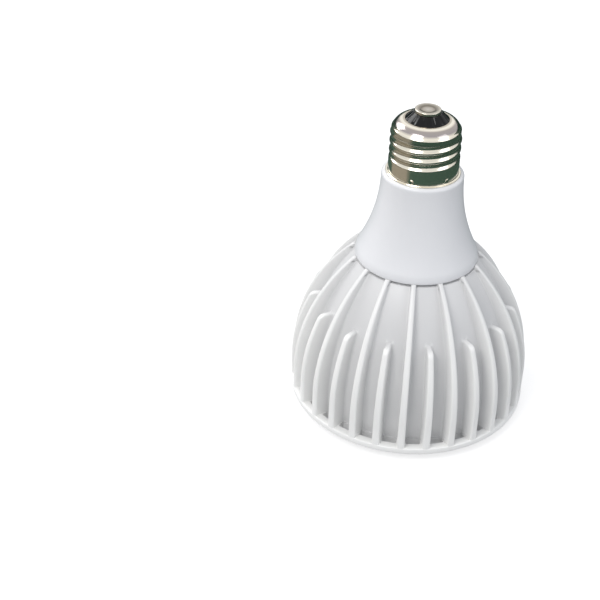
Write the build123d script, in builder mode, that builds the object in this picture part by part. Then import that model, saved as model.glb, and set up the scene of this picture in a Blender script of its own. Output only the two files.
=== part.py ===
from build123d import *
from math import cos, radians, sin, sqrt
import os

os.makedirs("parts", exist_ok=True)

# LED grow light bulb in the PAR30 size, standing on its face with the screw base up.
# +Z runs along the lamp's axis towards the base, and the surface it stands on is Z = 0.
# Front of the lamp means the lens side, at low Z. All sizes are in millimetres.

# Heat sink casting
RIM_RADIUS = 47.5            # outside of the rim ring, half of the lamp's 95 mm
RIM_PLANE = 3.5              # front face of the rim ring above the standing surface
RIM_THICKNESS = 2.7
RIM_EDGE = 0.6               # rounding of the rim ring's outer edges
SHOULDER = 16.0              # height where the straight skirt turns into the dome
FIN_REACH = 6.5              # from the core to the rim ring's outside
CORE_TOP = 64.8              # top ring of the core, under the neck
CORE_WALL = 2.5
COLLAR_WALL = 3.27           # width of the core's top ring
WEB_FRONT = 27.0             # face of the web that carries the light source
WEB_THICKNESS = 4.5
COLLAR_DEPTH = 3.0           # land round the mouth that guides the driver tube

# Fins
FIN_PAIRS = 15               # one long and one short fin in each pair
FIN_FOOT = 3.1               # fin thickness at the rim
FIN_TIP = 1.8                # fin thickness at the neck
FIN_EDGE = 0.7               # rounding of a fin's edges
FIN_INSET = 0.15             # fins stand this far inside the rim ring
FIN_ROOT = 1.2               # how deep a fin is rooted in the core wall
FIN_SHORTEST_ROUNDED = 2.1   # edges of a fin shorter than this stay sharp
PAD_INSET = 0.6              # the long fins' pads stop this far outside the casting's mouth
PAD_HEIGHT = 1.0             # from the core's top ring to the neck's rim
HEAD_WALL = 0.92             # fin metal outside the notch for the neck's rim
HEAD_HEIGHT = 0.4            # of that metal above the underside of the neck's rim
SHORT_FIN_TOP = 46.3
SHORT_FIN_ROUND = 3.5        # rounding of a short fin's upper corner
SLOT_LENGTH = 5.5            # vent slots through the rim ring, along its circle
SLOT_WIDTH = 3.0
SLOT_LAND = 0.35             # rim metal left between a slot and the core

# Neck, the driver housing
NECK_RIM_RADIUS = 23.75
NECK_FLARE_HEIGHT = 3.2      # from the rim up to the long concave sweep
NECK_FLARE_DRAFT = 0.73      # how far the flare comes in over that height
NECK_LENGTH = 34.2           # from the rim's underside to the top of the sweep
NECK_TOP_WALL = 2.15         # round the shell, at the top of the sweep
NECK_LIP_HEIGHT = 1.2        # rounded lip above the sweep
LIP_LAND = 1.0               # flat top of the lip beside the shell
NECK_WALL = 2.0
SEAT_CLEARANCE = 0.2         # between the neck's rim and the notch in the fins
TUBE_RADIUS = 20.2           # driver tube that reaches down inside the casting
TUBE_WALL = 1.6
TUBE_CLEARANCE = 0.15
SPIGOT_BORE = 10.2
SPIGOT_HEIGHT = 14.5         # above the shell's ledge
POST_RADIUS = 3.4            # screw posts inside the tube
POST_HEIGHT = 14.0
POST_OFFSET = 15.5           # post and housing screw from the axis
RAIL_HEIGHT = 24.0           # guide rails of the circuit board
RAIL_FOOT = 4.0              # rails start this far above the tube's foot
RAIL_WIDTH = 5.0
RAIL_GROOVE = 1.2
RAIL_SEAT = 2.0              # solid foot of the groove that the board stands on
POST_FLOOR = 2.0             # closed end of a post above its screw hole

# Screw shell: a medium Edison screw, seven turns to the inch
THREAD_PITCH = 25.4 / 7
THREAD_MEAN = 12.73          # mean radius of the rolled thread
THREAD_WAVE = 0.42           # half of the thread's depth
THREAD_LENGTH = 13.4
THREAD_STEPS_PER_TURN = 9    # circles in the stack
THREAD_PHASE = 21.3          # direction of the crest at the thread's bottom, degrees
SHELL_WALL = 0.35
LEDGE_RISE = 0.4             # from the top of the neck's sweep to the shell's bottom edge
SKIRT_HEIGHT = 4.2           # plain part of the shell below the thread
BEAD_REACH = 0.8             # rolled bead of the skirt that rests on the neck's lip
BEAD_THICKNESS = 0.4
SHELL_CLEARANCE = 0.1
SHELL_END_RADIUS = 8.1       # where the metal ends at the insulator
DOME_OVERLAP = 0.4           # the thread runs this far into the shell's shoulder
DOME_RISE = 4.8              # height of the shoulder
PUNCH_COUNT = 6              # stakes that lock the shell to the neck
PUNCH_PHASE = 6.4            # direction of the first one, degrees
PUNCH_RADIUS = 0.9
PUNCH_DEPTH = 0.3
PUNCH_HEIGHT = 2.4           # above the shell's bottom edge

# Insulator and centre contact
INSULATOR_TOP_RADIUS = 5.3
INSULATOR_RISE = 2.6         # of the cone above the shell's end
INSULATOR_DEPTH = 2.2        # of the flange inside the shell
FLANGE_RADIUS = 9.0
FLANGE_CLEARANCE = 0.3
RIB_COUNT = 12
RIB_DEPTH = 0.45
CONTACT_RADIUS = 4.8
CONTACT_THICKNESS = 1.2
CONTACT_DISH = 0.35
DISH_FLOOR_RADIUS = 2.4
DISH_RIM_RADIUS = 3.6
RIVET_RADIUS = 1.6
RIVET_HEAD_RADIUS = 2.6
RIVET_HEAD = 0.6

# Front bezel
BEZEL_LAP = 2.1              # how far the bezel covers the casting's front edge
BEZEL_LIP = 1.0              # how far its face reaches in from the casting's mouth
BEZEL_ROUND = 1.5
BEZEL_CLEARANCE = 0.1
BEZEL_DEPTH = 11.0           # from the standing surface to the skirt's end
BEZEL_SKIRT = 1.5
LEDGE_WIDTH = 2.3            # of the ledge that the lens lies on
LEDGE_THICKNESS = 1.5

# Front lens
LENS_FACE = 0.9              # front of the lens above the standing surface
LENS_FLANGE = 2.1
LENS_CLEARANCE = 0.1
LENS_RIM = 2.4               # flat margin outside the faceted zone
DISH_EDGE = 19.7             # inner edge of the faceted zone
DISH_DEPTH = 3.4
DISH_SAG = 0.5
LENS_BODY = 2.4              # thickness behind the dish
LENS_BACK_STEP = 0.6         # the back of the lens stays this far inside the bezel's ledge
OUTER_RING = 17.9            # outer edge of the raised ring round the middle
OUTER_RING_WIDTH = 1.3
INNER_RING = 13.7
DOME_RADIUS = 10.3
DOME_HEIGHT = 3.0
RING_HEIGHT = 1.2

# Reflector cup behind the lens
CUP_WALL = 1.2
CUP_THROAT = 9.4
CUP_END = 24.1
CUP_SAG = 4.5

# Light source
BOARD_SIDE = 19.0
BOARD_THICKNESS = 1.0
PAD_THICKNESS = 0.3
PHOSPHOR_RADIUS = 7.3
PHOSPHOR_THICKNESS = 0.4
BOARD_SCREW_OFFSET = 8.1     # along X and Y
BOARD_SCREW_HEAD = 1.7
BOARD_SCREW_HEAD_HEIGHT = 1.2
BOARD_SCREW_RADIUS = 0.95
BOARD_SCREW_LENGTH = 5.0
SCREW_CLEARANCE = 0.05
HOUSING_SCREW_RADIUS = 1.3
HOUSING_SCREW_HEAD = 2.8
HOUSING_SCREW_HEAD_HEIGHT = 1.7
HOUSING_SCREW_LENGTH = 14.0

# Driver board, its components and the leads
DRIVER_THICKNESS = 1.6
DRIVER_CLEARANCE = 0.1
DRIVER_FOOT_WIDTH = 29.6
DRIVER_HEAD_WIDTH = 19.0
DRIVER_LENGTH = 58.0
DRIVER_TAPER_START = 34.0    # above the board's foot
DRIVER_TAPER_END = 44.0
LEAD_RADIUS = 0.7
LEAD_BEND = 2.0
LEAD_HOLE = 2.6
LEAD_OFFSET = 12.5           # wire hole in the web, from the axis
LEAD_STANDOFF = 1.2          # end of a lead from the phosphor's edge
LEAD_JOINT = 3.5             # a lead's soldered end below the board's head
LEAD_SWING = 8.0
SOURCE_LEAD_JOINT = 4.0
NEUTRAL_X = 3.0
WINDING_RADIUS = 5.4
WINDING_LENGTH = 10.0
WINDING_CLEARANCE = 0.2
CORE_LEG_RADIUS = 3.0
CORE_WIDTH = 17.0
CORE_DEPTH = 9.0
CORE_LENGTH = 15.0
TRANSFORMER_HEIGHT = 25.0    # middle of the winding above the board's foot
INPUT_CAN_RADIUS = 5.0
INPUT_CAN_LENGTH = 17.0
INPUT_CAN_HEIGHT = 36.0
OUTPUT_CAN_RADIUS = 4.0
OUTPUT_CAN_LENGTH = 12.0
OUTPUT_CAN_HEIGHT = 2.0
OUTPUT_CAN_X = -6.0
CHOKE_RADIUS = 4.5
CHOKE_LENGTH = 9.0
CHOKE_LIP = 1.0
CHOKE_X = 4.0
CHOKE_HEIGHT = 6.0
FILM_SIZE = (12.0, 5.5, 9.0)
FILM_X = -4.0
FILM_HEIGHT = 19.0
CHIP_SIZE = (5.0, 1.6, 4.0)
CHIP_X = 0.0
CHIP_HEIGHT = 33.0
BRIDGE_SIZE = (6.4, 2.6, 5.0)
BRIDGE_X = -2.0
BRIDGE_HEIGHT = 40.0
BLOCK_EDGE = 0.4
FUSE_RADIUS = 1.7
FUSE_LENGTH = 8.0
FUSE_X = 5.0
FUSE_HEIGHT = 46.0



def tangent_arc(inward, upward):
    """Radius of an arc that starts straight up and comes in by one length over another."""
    return (inward**2 + upward**2) / (2 * inward)


# Worked out from the sizes above, from the rim up to the contact
SKIRT_RADIUS = RIM_RADIUS - FIN_INSET
CORE_RADIUS = RIM_RADIUS - FIN_REACH
MOUTH_BORE = CORE_RADIUS - CORE_WALL
RIM_TOP = RIM_PLANE + RIM_THICKNESS
SLOT_MIDDLE = CORE_RADIUS + SLOT_LAND + SLOT_WIDTH / 2
FIN_ANGLE = 360 / FIN_PAIRS
WEB_BACK = WEB_FRONT + WEB_THICKNESS
MOUTH_COLLAR = TUBE_RADIUS + TUBE_CLEARANCE
CORE_ARC = tangent_arc(CORE_RADIUS - (MOUTH_COLLAR + COLLAR_WALL), CORE_TOP - SHOULDER)
NECK_SEAT = CORE_TOP + PAD_HEIGHT
SEAT_RADIUS = NECK_RIM_RADIUS + SEAT_CLEARANCE
HEAD_TOP = NECK_SEAT + HEAD_HEIGHT
OUTLINE_ARC = tangent_arc(SKIRT_RADIUS - (SEAT_RADIUS + HEAD_WALL), HEAD_TOP - SHOULDER)
TUBE_FOOT = WEB_BACK
TUBE_BORE = TUBE_RADIUS - TUBE_WALL
RAIL_BOTTOM = TUBE_FOOT + RAIL_FOOT
NECK_FLARE_TOP = NECK_SEAT + NECK_FLARE_HEIGHT
NECK_SWEEP_TOP = NECK_SEAT + NECK_LENGTH
NECK_TOP = NECK_SWEEP_TOP + NECK_LIP_HEIGHT
THREAD_CREST = THREAD_MEAN + THREAD_WAVE
THREAD_ROOT = THREAD_MEAN - THREAD_WAVE
THREAD_BORE = THREAD_ROOT - SHELL_WALL
SKIRT_BORE = THREAD_CREST - SHELL_WALL
SOCKET_RADIUS = THREAD_CREST + SHELL_CLEARANCE
NECK_TOP_RADIUS = SOCKET_RADIUS + NECK_TOP_WALL
NECK_SWEEP = tangent_arc(NECK_RIM_RADIUS - NECK_FLARE_DRAFT - NECK_TOP_RADIUS,
                         NECK_LENGTH - NECK_FLARE_HEIGHT)
LEDGE = NECK_SWEEP_TOP + LEDGE_RISE
NECK_CEILING = LEDGE - NECK_WALL
SPIGOT_RADIUS = THREAD_BORE - SHELL_CLEARANCE
SPIGOT_TOP = LEDGE + SPIGOT_HEIGHT
THREAD_BOTTOM = LEDGE + SKIRT_HEIGHT
THREAD_TOP = THREAD_BOTTOM + THREAD_LENGTH
THREAD_STEPS = round(THREAD_STEPS_PER_TURN * THREAD_LENGTH / THREAD_PITCH)
DOME_FOOT = THREAD_TOP - DOME_OVERLAP
SHELL_END = DOME_FOOT + DOME_RISE
INSULATOR_TOP = SHELL_END + INSULATOR_RISE
BEZEL_RADIUS = MOUTH_BORE + BEZEL_LAP
BEZEL_BORE = MOUTH_BORE - BEZEL_LIP
LEDGE_RADIUS = BEZEL_BORE - LEDGE_WIDTH
LENS_RADIUS = BEZEL_BORE - LENS_CLEARANCE
DISH_RADIUS = LENS_RADIUS - LENS_RIM
LENS_BACK_RADIUS = LEDGE_RADIUS - LENS_BACK_STEP
BOARD_FRONT = WEB_FRONT - PAD_THICKNESS - BOARD_THICKNESS


def dome_radius(height, base_radius, arc):
    """Radius of a dome that stands straight below the shoulder and follows an arc above it."""
    rise = max(0.0, height - SHOULDER)
    return base_radius - arc + sqrt(arc**2 - rise**2)


def outline_radius(height):
    return dome_radius(height, SKIRT_RADIUS, OUTLINE_ARC)


def core_radius(height):
    return dome_radius(height, CORE_RADIUS, CORE_ARC)


def neck_radius(height):
    rise = NECK_SWEEP_TOP - height
    return NECK_TOP_RADIUS + NECK_SWEEP - sqrt(NECK_SWEEP**2 - rise**2)


def neck_height(radius):
    """Height at which the neck's sweep has a radius."""
    reach = NECK_SWEEP - (radius - NECK_TOP_RADIUS)
    return NECK_SWEEP_TOP - sqrt(NECK_SWEEP**2 - reach**2)


def core_arc_points(start, end, inset):
    """Three points of the core's dome, moved in towards the axis, for an arc."""
    middle = (start + end) / 2
    return [(core_radius(height) - inset, height) for height in (start, middle, end)]


def make_fin(top, reaches_neck):
    """One fin along +X. A long fin ends in a pad for the neck's rim, with a notch that locates it."""
    foot = RIM_PLANE + RIM_EDGE
    root_foot = core_radius(foot) - FIN_ROOT
    with BuildPart() as fin:
        with BuildSketch(Plane.XZ) as side_view:
            with BuildLine():
                tip = (outline_radius(top), top)
                if reaches_neck:
                    root_top = (core_radius(CORE_TOP) - FIN_ROOT, CORE_TOP - FIN_ROOT)
                    pad_inner = MOUTH_COLLAR + PAD_INSET
                    Polyline(tip, (SEAT_RADIUS, top), (SEAT_RADIUS, NECK_SEAT), (pad_inner, NECK_SEAT),
                             (pad_inner, CORE_TOP - FIN_ROOT), root_top)
                else:
                    root_top = (core_radius(top) - FIN_ROOT, top)
                    Line(tip, root_top)
                middle = (SHOULDER + root_top[1]) / 2
                ThreePointArc(root_top, (core_radius(middle) - FIN_ROOT, middle), (root_foot, SHOULDER))
                Polyline((root_foot, SHOULDER), (root_foot, foot), (SKIRT_RADIUS, foot),
                         (SKIRT_RADIUS, SHOULDER))
                TangentArc((SKIRT_RADIUS, SHOULDER), tip, tangent=(0, 1))
            make_face()
            if not reaches_neck:
                upper_corner = side_view.vertices().sort_by(lambda corner: corner.X + corner.Y)[-1]
                fillet(upper_corner, radius=SHORT_FIN_ROUND)
        extrude(amount=FIN_FOOT, both=True)
        with BuildSketch(Plane.YZ):
            with BuildLine():
                Polyline((-FIN_FOOT / 2, RIM_PLANE), (FIN_FOOT / 2, RIM_PLANE),
                         (FIN_TIP / 2, top), (-FIN_TIP / 2, top), close=True)
            make_face()
        extrude(amount=RIM_RADIUS, mode=Mode.INTERSECT)
        sides = fin.faces().sort_by(Axis.Y)
        outer_edges = (sides[0].edges() + sides[-1].edges()).filter_by(
            lambda edge: edge.center().X > core_radius(edge.center().Z) + FIN_ROOT
            and edge.center().Z > RIM_TOP
            and edge.length > FIN_SHORTEST_ROUNDED)
        fillet(outer_edges, radius=FIN_EDGE)
    return fin


# Heat sink: one casting with a domed core, a web for the light source, thirty fins and a slotted rim
long_fin = make_fin(HEAD_TOP, True)
short_fin = make_fin(SHORT_FIN_TOP, False)
with BuildPart() as heat_sink:
    with BuildSketch(Plane.XZ):
        with BuildLine():
            Polyline((0, CORE_TOP), (0, RIM_PLANE), (CORE_RADIUS, RIM_PLANE), (CORE_RADIUS, SHOULDER))
            TangentArc((CORE_RADIUS, SHOULDER), (core_radius(CORE_TOP), CORE_TOP), tangent=(0, 1))
            Line((core_radius(CORE_TOP), CORE_TOP), (0, CORE_TOP))
        make_face()
    revolve(axis=Axis.Z)
    with BuildSketch(Plane.XY.offset(RIM_PLANE)):
        Circle(RIM_RADIUS)
        Circle(CORE_RADIUS - CORE_WALL / 2, mode=Mode.SUBTRACT)
    extrude(amount=RIM_THICKNESS)
    rim_edges = heat_sink.edges().filter_by(GeomType.CIRCLE).filter_by(
        lambda edge: abs(edge.radius - RIM_RADIUS) < RIM_EDGE)
    fillet(rim_edges, radius=RIM_EDGE)
    for pair in range(FIN_PAIRS):
        add(long_fin.part.rotate(Axis.Z, pair * FIN_ANGLE))
        add(short_fin.part.rotate(Axis.Z, (pair + 0.5) * FIN_ANGLE))
    with BuildSketch(Plane.XZ):
        with BuildLine():
            cavity = core_arc_points(SHOULDER, WEB_FRONT, CORE_WALL)
            Polyline((0, WEB_FRONT), (0, 0), (MOUTH_BORE, 0), cavity[0])
            ThreePointArc(*cavity)
            Line(cavity[2], (0, WEB_FRONT))
        make_face()
        with BuildLine():
            driver_room = core_arc_points(WEB_BACK, CORE_TOP - COLLAR_DEPTH, CORE_WALL)
            Polyline((0, NECK_SEAT), (0, WEB_BACK), driver_room[0])
            ThreePointArc(*driver_room)
            Polyline(driver_room[2], (MOUTH_COLLAR, CORE_TOP - COLLAR_DEPTH), (MOUTH_COLLAR, NECK_SEAT),
                     (0, NECK_SEAT))
        make_face()
    revolve(axis=Axis.Z, mode=Mode.SUBTRACT)
    with BuildSketch(Plane.XY):
        with PolarLocations(SLOT_MIDDLE, 2 * FIN_PAIRS, start_angle=FIN_ANGLE / 4):
            Rectangle(SLOT_WIDTH, SLOT_LENGTH)
    extrude(amount=RIM_TOP, mode=Mode.SUBTRACT)
    with Locations((0, POST_OFFSET, WEB_FRONT), (0, -POST_OFFSET, WEB_FRONT)):
        Cylinder(HOUSING_SCREW_RADIUS + SCREW_CLEARANCE, WEB_THICKNESS,
                 align=(Align.CENTER, Align.CENTER, Align.MIN), mode=Mode.SUBTRACT)
    with Locations((BOARD_SCREW_OFFSET, BOARD_SCREW_OFFSET, WEB_FRONT),
                   (-BOARD_SCREW_OFFSET, -BOARD_SCREW_OFFSET, WEB_FRONT)):
        Cylinder(BOARD_SCREW_RADIUS + SCREW_CLEARANCE, WEB_THICKNESS,
                 align=(Align.CENTER, Align.CENTER, Align.MIN), mode=Mode.SUBTRACT)
    with Locations((LEAD_OFFSET, 0, WEB_FRONT)):
        Cylinder(LEAD_HOLE, WEB_THICKNESS, align=(Align.CENTER, Align.CENTER, Align.MIN),
                 mode=Mode.SUBTRACT)
heat_sink.part.label = "heat_sink"
export_step(heat_sink.part, "parts/heat_sink.step")

# Driver housing: the flared neck, the spigot for the screw shell above it and the driver tube below it
with BuildPart() as driver_housing:
    with BuildSketch(Plane.XZ):
        with BuildLine():
            flare_top = (neck_radius(NECK_FLARE_TOP), NECK_FLARE_TOP)
            sweep_top = (NECK_TOP_RADIUS, NECK_SWEEP_TOP)
            lip = (SOCKET_RADIUS + LIP_LAND, NECK_TOP)
            Polyline((TUBE_BORE, TUBE_FOOT), (TUBE_RADIUS, TUBE_FOOT), (TUBE_RADIUS, NECK_SEAT),
                     (NECK_RIM_RADIUS, NECK_SEAT))
            TangentArc((NECK_RIM_RADIUS, NECK_SEAT), flare_top, tangent=(0, 1))
            TangentArc(sweep_top, flare_top, tangent=(0, -1))
            TangentArc(sweep_top, lip, tangent=(0, 1))
            Polyline(lip, (SOCKET_RADIUS, NECK_TOP), (SOCKET_RADIUS, LEDGE), (SPIGOT_RADIUS, LEDGE),
                     (SPIGOT_RADIUS, SPIGOT_TOP), (SPIGOT_BORE, SPIGOT_TOP), (SPIGOT_BORE, NECK_CEILING),
                     (neck_radius(NECK_CEILING) - NECK_WALL, NECK_CEILING))
            room_top = (neck_radius(NECK_CEILING) - NECK_WALL, NECK_CEILING)
            room_foot = (TUBE_BORE, neck_height(TUBE_BORE + NECK_WALL))
            room_middle = (room_top[1] + room_foot[1]) / 2
            ThreePointArc(room_top, (neck_radius(room_middle) - NECK_WALL, room_middle), room_foot)
            Line(room_foot, (TUBE_BORE, TUBE_FOOT))
        make_face()
    revolve(axis=Axis.Z)
    with BuildSketch(Plane.XY.offset(TUBE_FOOT)):
        with Locations((0, POST_OFFSET), (0, -POST_OFFSET)):
            Circle(POST_RADIUS)
    extrude(amount=POST_HEIGHT)
    with BuildSketch(Plane.XY.offset(RAIL_BOTTOM)):
        with BuildLine():
            half_width = RAIL_WIDTH / 2
            rail_reach = TUBE_BORE + TUBE_WALL / 2
            rail_inner = DRIVER_FOOT_WIDTH / 2 - RAIL_GROOVE
            Polyline((rail_inner, -half_width), (rail_reach, -half_width), (rail_reach, half_width),
                     (rail_inner, half_width), close=True)
        make_face()
        mirror(about=Plane.YZ)
    extrude(amount=RAIL_HEIGHT)
    groove = DRIVER_THICKNESS + 2 * DRIVER_CLEARANCE
    with Locations((0, 0, RAIL_BOTTOM + RAIL_SEAT)):
        Box(DRIVER_FOOT_WIDTH + 2 * DRIVER_CLEARANCE, groove, RAIL_HEIGHT,
            align=(Align.CENTER, Align.CENTER, Align.MIN), mode=Mode.SUBTRACT)
    with Locations((0, POST_OFFSET, TUBE_FOOT), (0, -POST_OFFSET, TUBE_FOOT)):
        Cylinder(HOUSING_SCREW_RADIUS, POST_HEIGHT - POST_FLOOR,
                 align=(Align.CENTER, Align.CENTER, Align.MIN), mode=Mode.SUBTRACT)
driver_housing.part.label = "driver_housing"
export_step(driver_housing.part, "parts/driver_housing.step")


# Screw shell: one rolled sheet, staked to the neck by a ring of punch marks. The thread is a stack of
# circles whose centre winds about the axis, which gives a rounded crest and root.
with BuildPart() as screw_shell:
    with BuildSketch(Plane.XZ):
        with BuildLine():
            run_out = THREAD_BOTTOM + THREAD_PITCH / 2
            bead_top = NECK_TOP + BEAD_THICKNESS
            bead_radius = THREAD_CREST + BEAD_REACH
            Polyline((0, LEDGE), (THREAD_CREST, LEDGE), (THREAD_CREST, NECK_TOP), (bead_radius, NECK_TOP),
                     (bead_radius, bead_top), (THREAD_CREST, bead_top), (THREAD_CREST, THREAD_BOTTOM),
                     (THREAD_ROOT, run_out), (0, run_out), close=True)
        make_face()
        with BuildLine():
            Line((0, DOME_FOOT), (THREAD_MEAN, DOME_FOOT))
            TangentArc((THREAD_MEAN, DOME_FOOT), (SHELL_END_RADIUS, SHELL_END), tangent=(0, 1))
            Polyline((SHELL_END_RADIUS, SHELL_END), (0, SHELL_END), (0, DOME_FOOT))
        make_face()
    revolve(axis=Axis.Z)
    with BuildPart(mode=Mode.PRIVATE) as thread:
        for step in range(THREAD_STEPS + 1):
            rise = (THREAD_TOP - THREAD_BOTTOM) * step / THREAD_STEPS
            crest = radians(THREAD_PHASE + rise / THREAD_PITCH * 360)
            with BuildSketch(Plane.XY.offset(THREAD_BOTTOM + rise)):
                with Locations((THREAD_WAVE * cos(crest), THREAD_WAVE * sin(crest))):
                    Circle(THREAD_MEAN)
        loft(ruled=True)
    add(thread.part)
    with BuildSketch(Plane.XZ):
        with BuildLine():
            Polyline((0, LEDGE), (SKIRT_BORE, LEDGE), (SKIRT_BORE, THREAD_BOTTOM), (THREAD_BORE, run_out),
                     (THREAD_BORE, DOME_FOOT))
            TangentArc((THREAD_BORE, DOME_FOOT), (SHELL_END_RADIUS, SHELL_END - SHELL_WALL), tangent=(0, 1))
            Polyline((SHELL_END_RADIUS, SHELL_END - SHELL_WALL), (SHELL_END_RADIUS, SHELL_END),
                     (0, SHELL_END), (0, LEDGE))
        make_face()
    revolve(axis=Axis.Z, mode=Mode.SUBTRACT)
    with PolarLocations(THREAD_CREST + PUNCH_RADIUS - PUNCH_DEPTH, PUNCH_COUNT, start_angle=PUNCH_PHASE):
        with Locations((0, 0, LEDGE + PUNCH_HEIGHT)):
            Sphere(PUNCH_RADIUS, mode=Mode.SUBTRACT)
screw_shell.part.label = "screw_shell"
export_step(screw_shell.part, "parts/screw_shell.step")

# Insulator: black, conical outside with radial ribs, flanged inside the shell
with BuildPart() as insulator:
    neck_of_shell = SHELL_END_RADIUS - SHELL_CLEARANCE
    flange_top = SHELL_END - SHELL_WALL - FLANGE_CLEARANCE
    with BuildSketch(Plane.XZ):
        with BuildLine():
            Polyline((RIVET_RADIUS + SCREW_CLEARANCE, flange_top - INSULATOR_DEPTH),
                     (FLANGE_RADIUS, flange_top - INSULATOR_DEPTH), (FLANGE_RADIUS, flange_top),
                     (neck_of_shell, flange_top), (neck_of_shell, SHELL_END),
                     (INSULATOR_TOP_RADIUS, INSULATOR_TOP),
                     (RIVET_RADIUS + SCREW_CLEARANCE, INSULATOR_TOP), close=True)
        make_face()
    revolve(axis=Axis.Z)
    slope = Plane(origin=(neck_of_shell, 0, SHELL_END), x_dir=(0, 1, 0),
                  z_dir=(INSULATOR_TOP_RADIUS - neck_of_shell, 0, INSULATOR_TOP - SHELL_END))
    with BuildPart(mode=Mode.PRIVATE) as groove_cutter:
        with BuildSketch(slope):
            with BuildLine():
                Polyline((-RIB_DEPTH, 0), (0, -RIB_DEPTH), (RIB_DEPTH, 0), (0, RIB_DEPTH), close=True)
            make_face()
        extrude(amount=INSULATOR_TOP_RADIUS)
    for rib in range(RIB_COUNT):
        add(groove_cutter.part.rotate(Axis.Z, (rib + 0.5) * 360 / RIB_COUNT), mode=Mode.SUBTRACT)
insulator.part.label = "insulator"
export_step(insulator.part, "parts/insulator.step")

# Centre contact: a dished button riveted through the insulator
with BuildPart() as centre_contact:
    contact_top = INSULATOR_TOP + CONTACT_THICKNESS
    rivet_foot = SHELL_END - SHELL_WALL - FLANGE_CLEARANCE - INSULATOR_DEPTH
    with BuildSketch(Plane.XZ):
        with BuildLine():
            Polyline((0, contact_top - CONTACT_DISH), (DISH_FLOOR_RADIUS, contact_top - CONTACT_DISH),
                     (DISH_RIM_RADIUS, contact_top), (CONTACT_RADIUS - CONTACT_DISH, contact_top),
                     (CONTACT_RADIUS, contact_top - CONTACT_DISH), (CONTACT_RADIUS, INSULATOR_TOP),
                     (RIVET_RADIUS, INSULATOR_TOP), (RIVET_RADIUS, rivet_foot),
                     (RIVET_HEAD_RADIUS, rivet_foot), (RIVET_RADIUS, rivet_foot - RIVET_HEAD),
                     (0, rivet_foot - RIVET_HEAD), close=True)
        make_face()
    revolve(axis=Axis.Z)
centre_contact.part.label = "centre_contact"
export_step(centre_contact.part, "parts/centre_contact.step")

# Front bezel: seats on the casting's front edge, with a skirt in its mouth and a ledge for the lens
with BuildPart() as front_bezel:
    skirt_outside = MOUTH_BORE - BEZEL_CLEARANCE
    ledge_front = LENS_FACE + LENS_FLANGE
    ledge_back = ledge_front + LEDGE_THICKNESS
    with BuildSketch(Plane.XZ):
        with BuildLine():
            face_edge = (BEZEL_RADIUS - BEZEL_ROUND, 0)
            Polyline((BEZEL_BORE, ledge_front), (BEZEL_BORE, 0), face_edge)
            TangentArc(face_edge, (BEZEL_RADIUS, BEZEL_ROUND), tangent=(1, 0))
            Polyline((BEZEL_RADIUS, BEZEL_ROUND), (BEZEL_RADIUS, RIM_PLANE), (skirt_outside, RIM_PLANE),
                     (skirt_outside, BEZEL_DEPTH), (skirt_outside - BEZEL_SKIRT, BEZEL_DEPTH),
                     (skirt_outside - BEZEL_SKIRT, ledge_back), (LEDGE_RADIUS, ledge_back),
                     (LEDGE_RADIUS, ledge_front), (BEZEL_BORE, ledge_front))
        make_face()
    revolve(axis=Axis.Z)
front_bezel.part.label = "front_bezel"
export_step(front_bezel.part, "parts/front_bezel.step")

# Front lens: a clear moulding with a shallow dish, two raised rings and a dome over the light source
with BuildPart() as front_lens:
    dish_floor = LENS_FACE + DISH_DEPTH
    lens_back = dish_floor + LENS_BODY
    with BuildSketch(Plane.XZ):
        with BuildLine():
            Polyline((0, lens_back), (DISH_EDGE, lens_back), (LENS_BACK_RADIUS, ledge_back),
                     (LENS_BACK_RADIUS, ledge_front), (LENS_RADIUS, ledge_front), (LENS_RADIUS, LENS_FACE),
                     (DISH_RADIUS, LENS_FACE))
            SagittaArc((DISH_RADIUS, LENS_FACE), (DISH_EDGE, dish_floor), DISH_SAG)
            Polyline((DISH_EDGE, dish_floor), (OUTER_RING, dish_floor),
                     (OUTER_RING, dish_floor - RING_HEIGHT),
                     (OUTER_RING - OUTER_RING_WIDTH, dish_floor - RING_HEIGHT),
                     (OUTER_RING - 2 * OUTER_RING_WIDTH, dish_floor), (INNER_RING, dish_floor),
                     (INNER_RING - OUTER_RING_WIDTH, dish_floor - RING_HEIGHT), (DOME_RADIUS, dish_floor))
            TangentArc((0, dish_floor - DOME_HEIGHT), (DOME_RADIUS, dish_floor), tangent=(1, 0))
            Line((0, dish_floor - DOME_HEIGHT), (0, lens_back))
        make_face()
    revolve(axis=Axis.Z)
front_lens.part.label = "front_lens"
export_step(front_lens.part, "parts/front_lens.step")

# Reflector cup: hangs from the back of the bezel's ledge and narrows to the light source
with BuildPart() as reflector_cup:
    cup_flange = skirt_outside - BEZEL_SKIRT - BEZEL_CLEARANCE
    cup_mouth = (LEDGE_RADIUS, ledge_back)
    cup_throat = (CUP_THROAT, CUP_END)
    with BuildSketch(Plane.XZ):
        with BuildLine():
            SagittaArc(cup_mouth, cup_throat, -CUP_SAG)
            Line(cup_throat, (CUP_THROAT + CUP_WALL, CUP_END))
            shoulder = (LEDGE_RADIUS + CUP_WALL / 2, ledge_back + CUP_WALL)
            SagittaArc((CUP_THROAT + CUP_WALL, CUP_END), shoulder, CUP_SAG)
            Polyline(shoulder, (cup_flange, ledge_back + CUP_WALL), (cup_flange, ledge_back), cup_mouth)
        make_face()
    revolve(axis=Axis.Z)
reflector_cup.part.label = "reflector_cup"
export_step(reflector_cup.part, "parts/reflector_cup.step")

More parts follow.
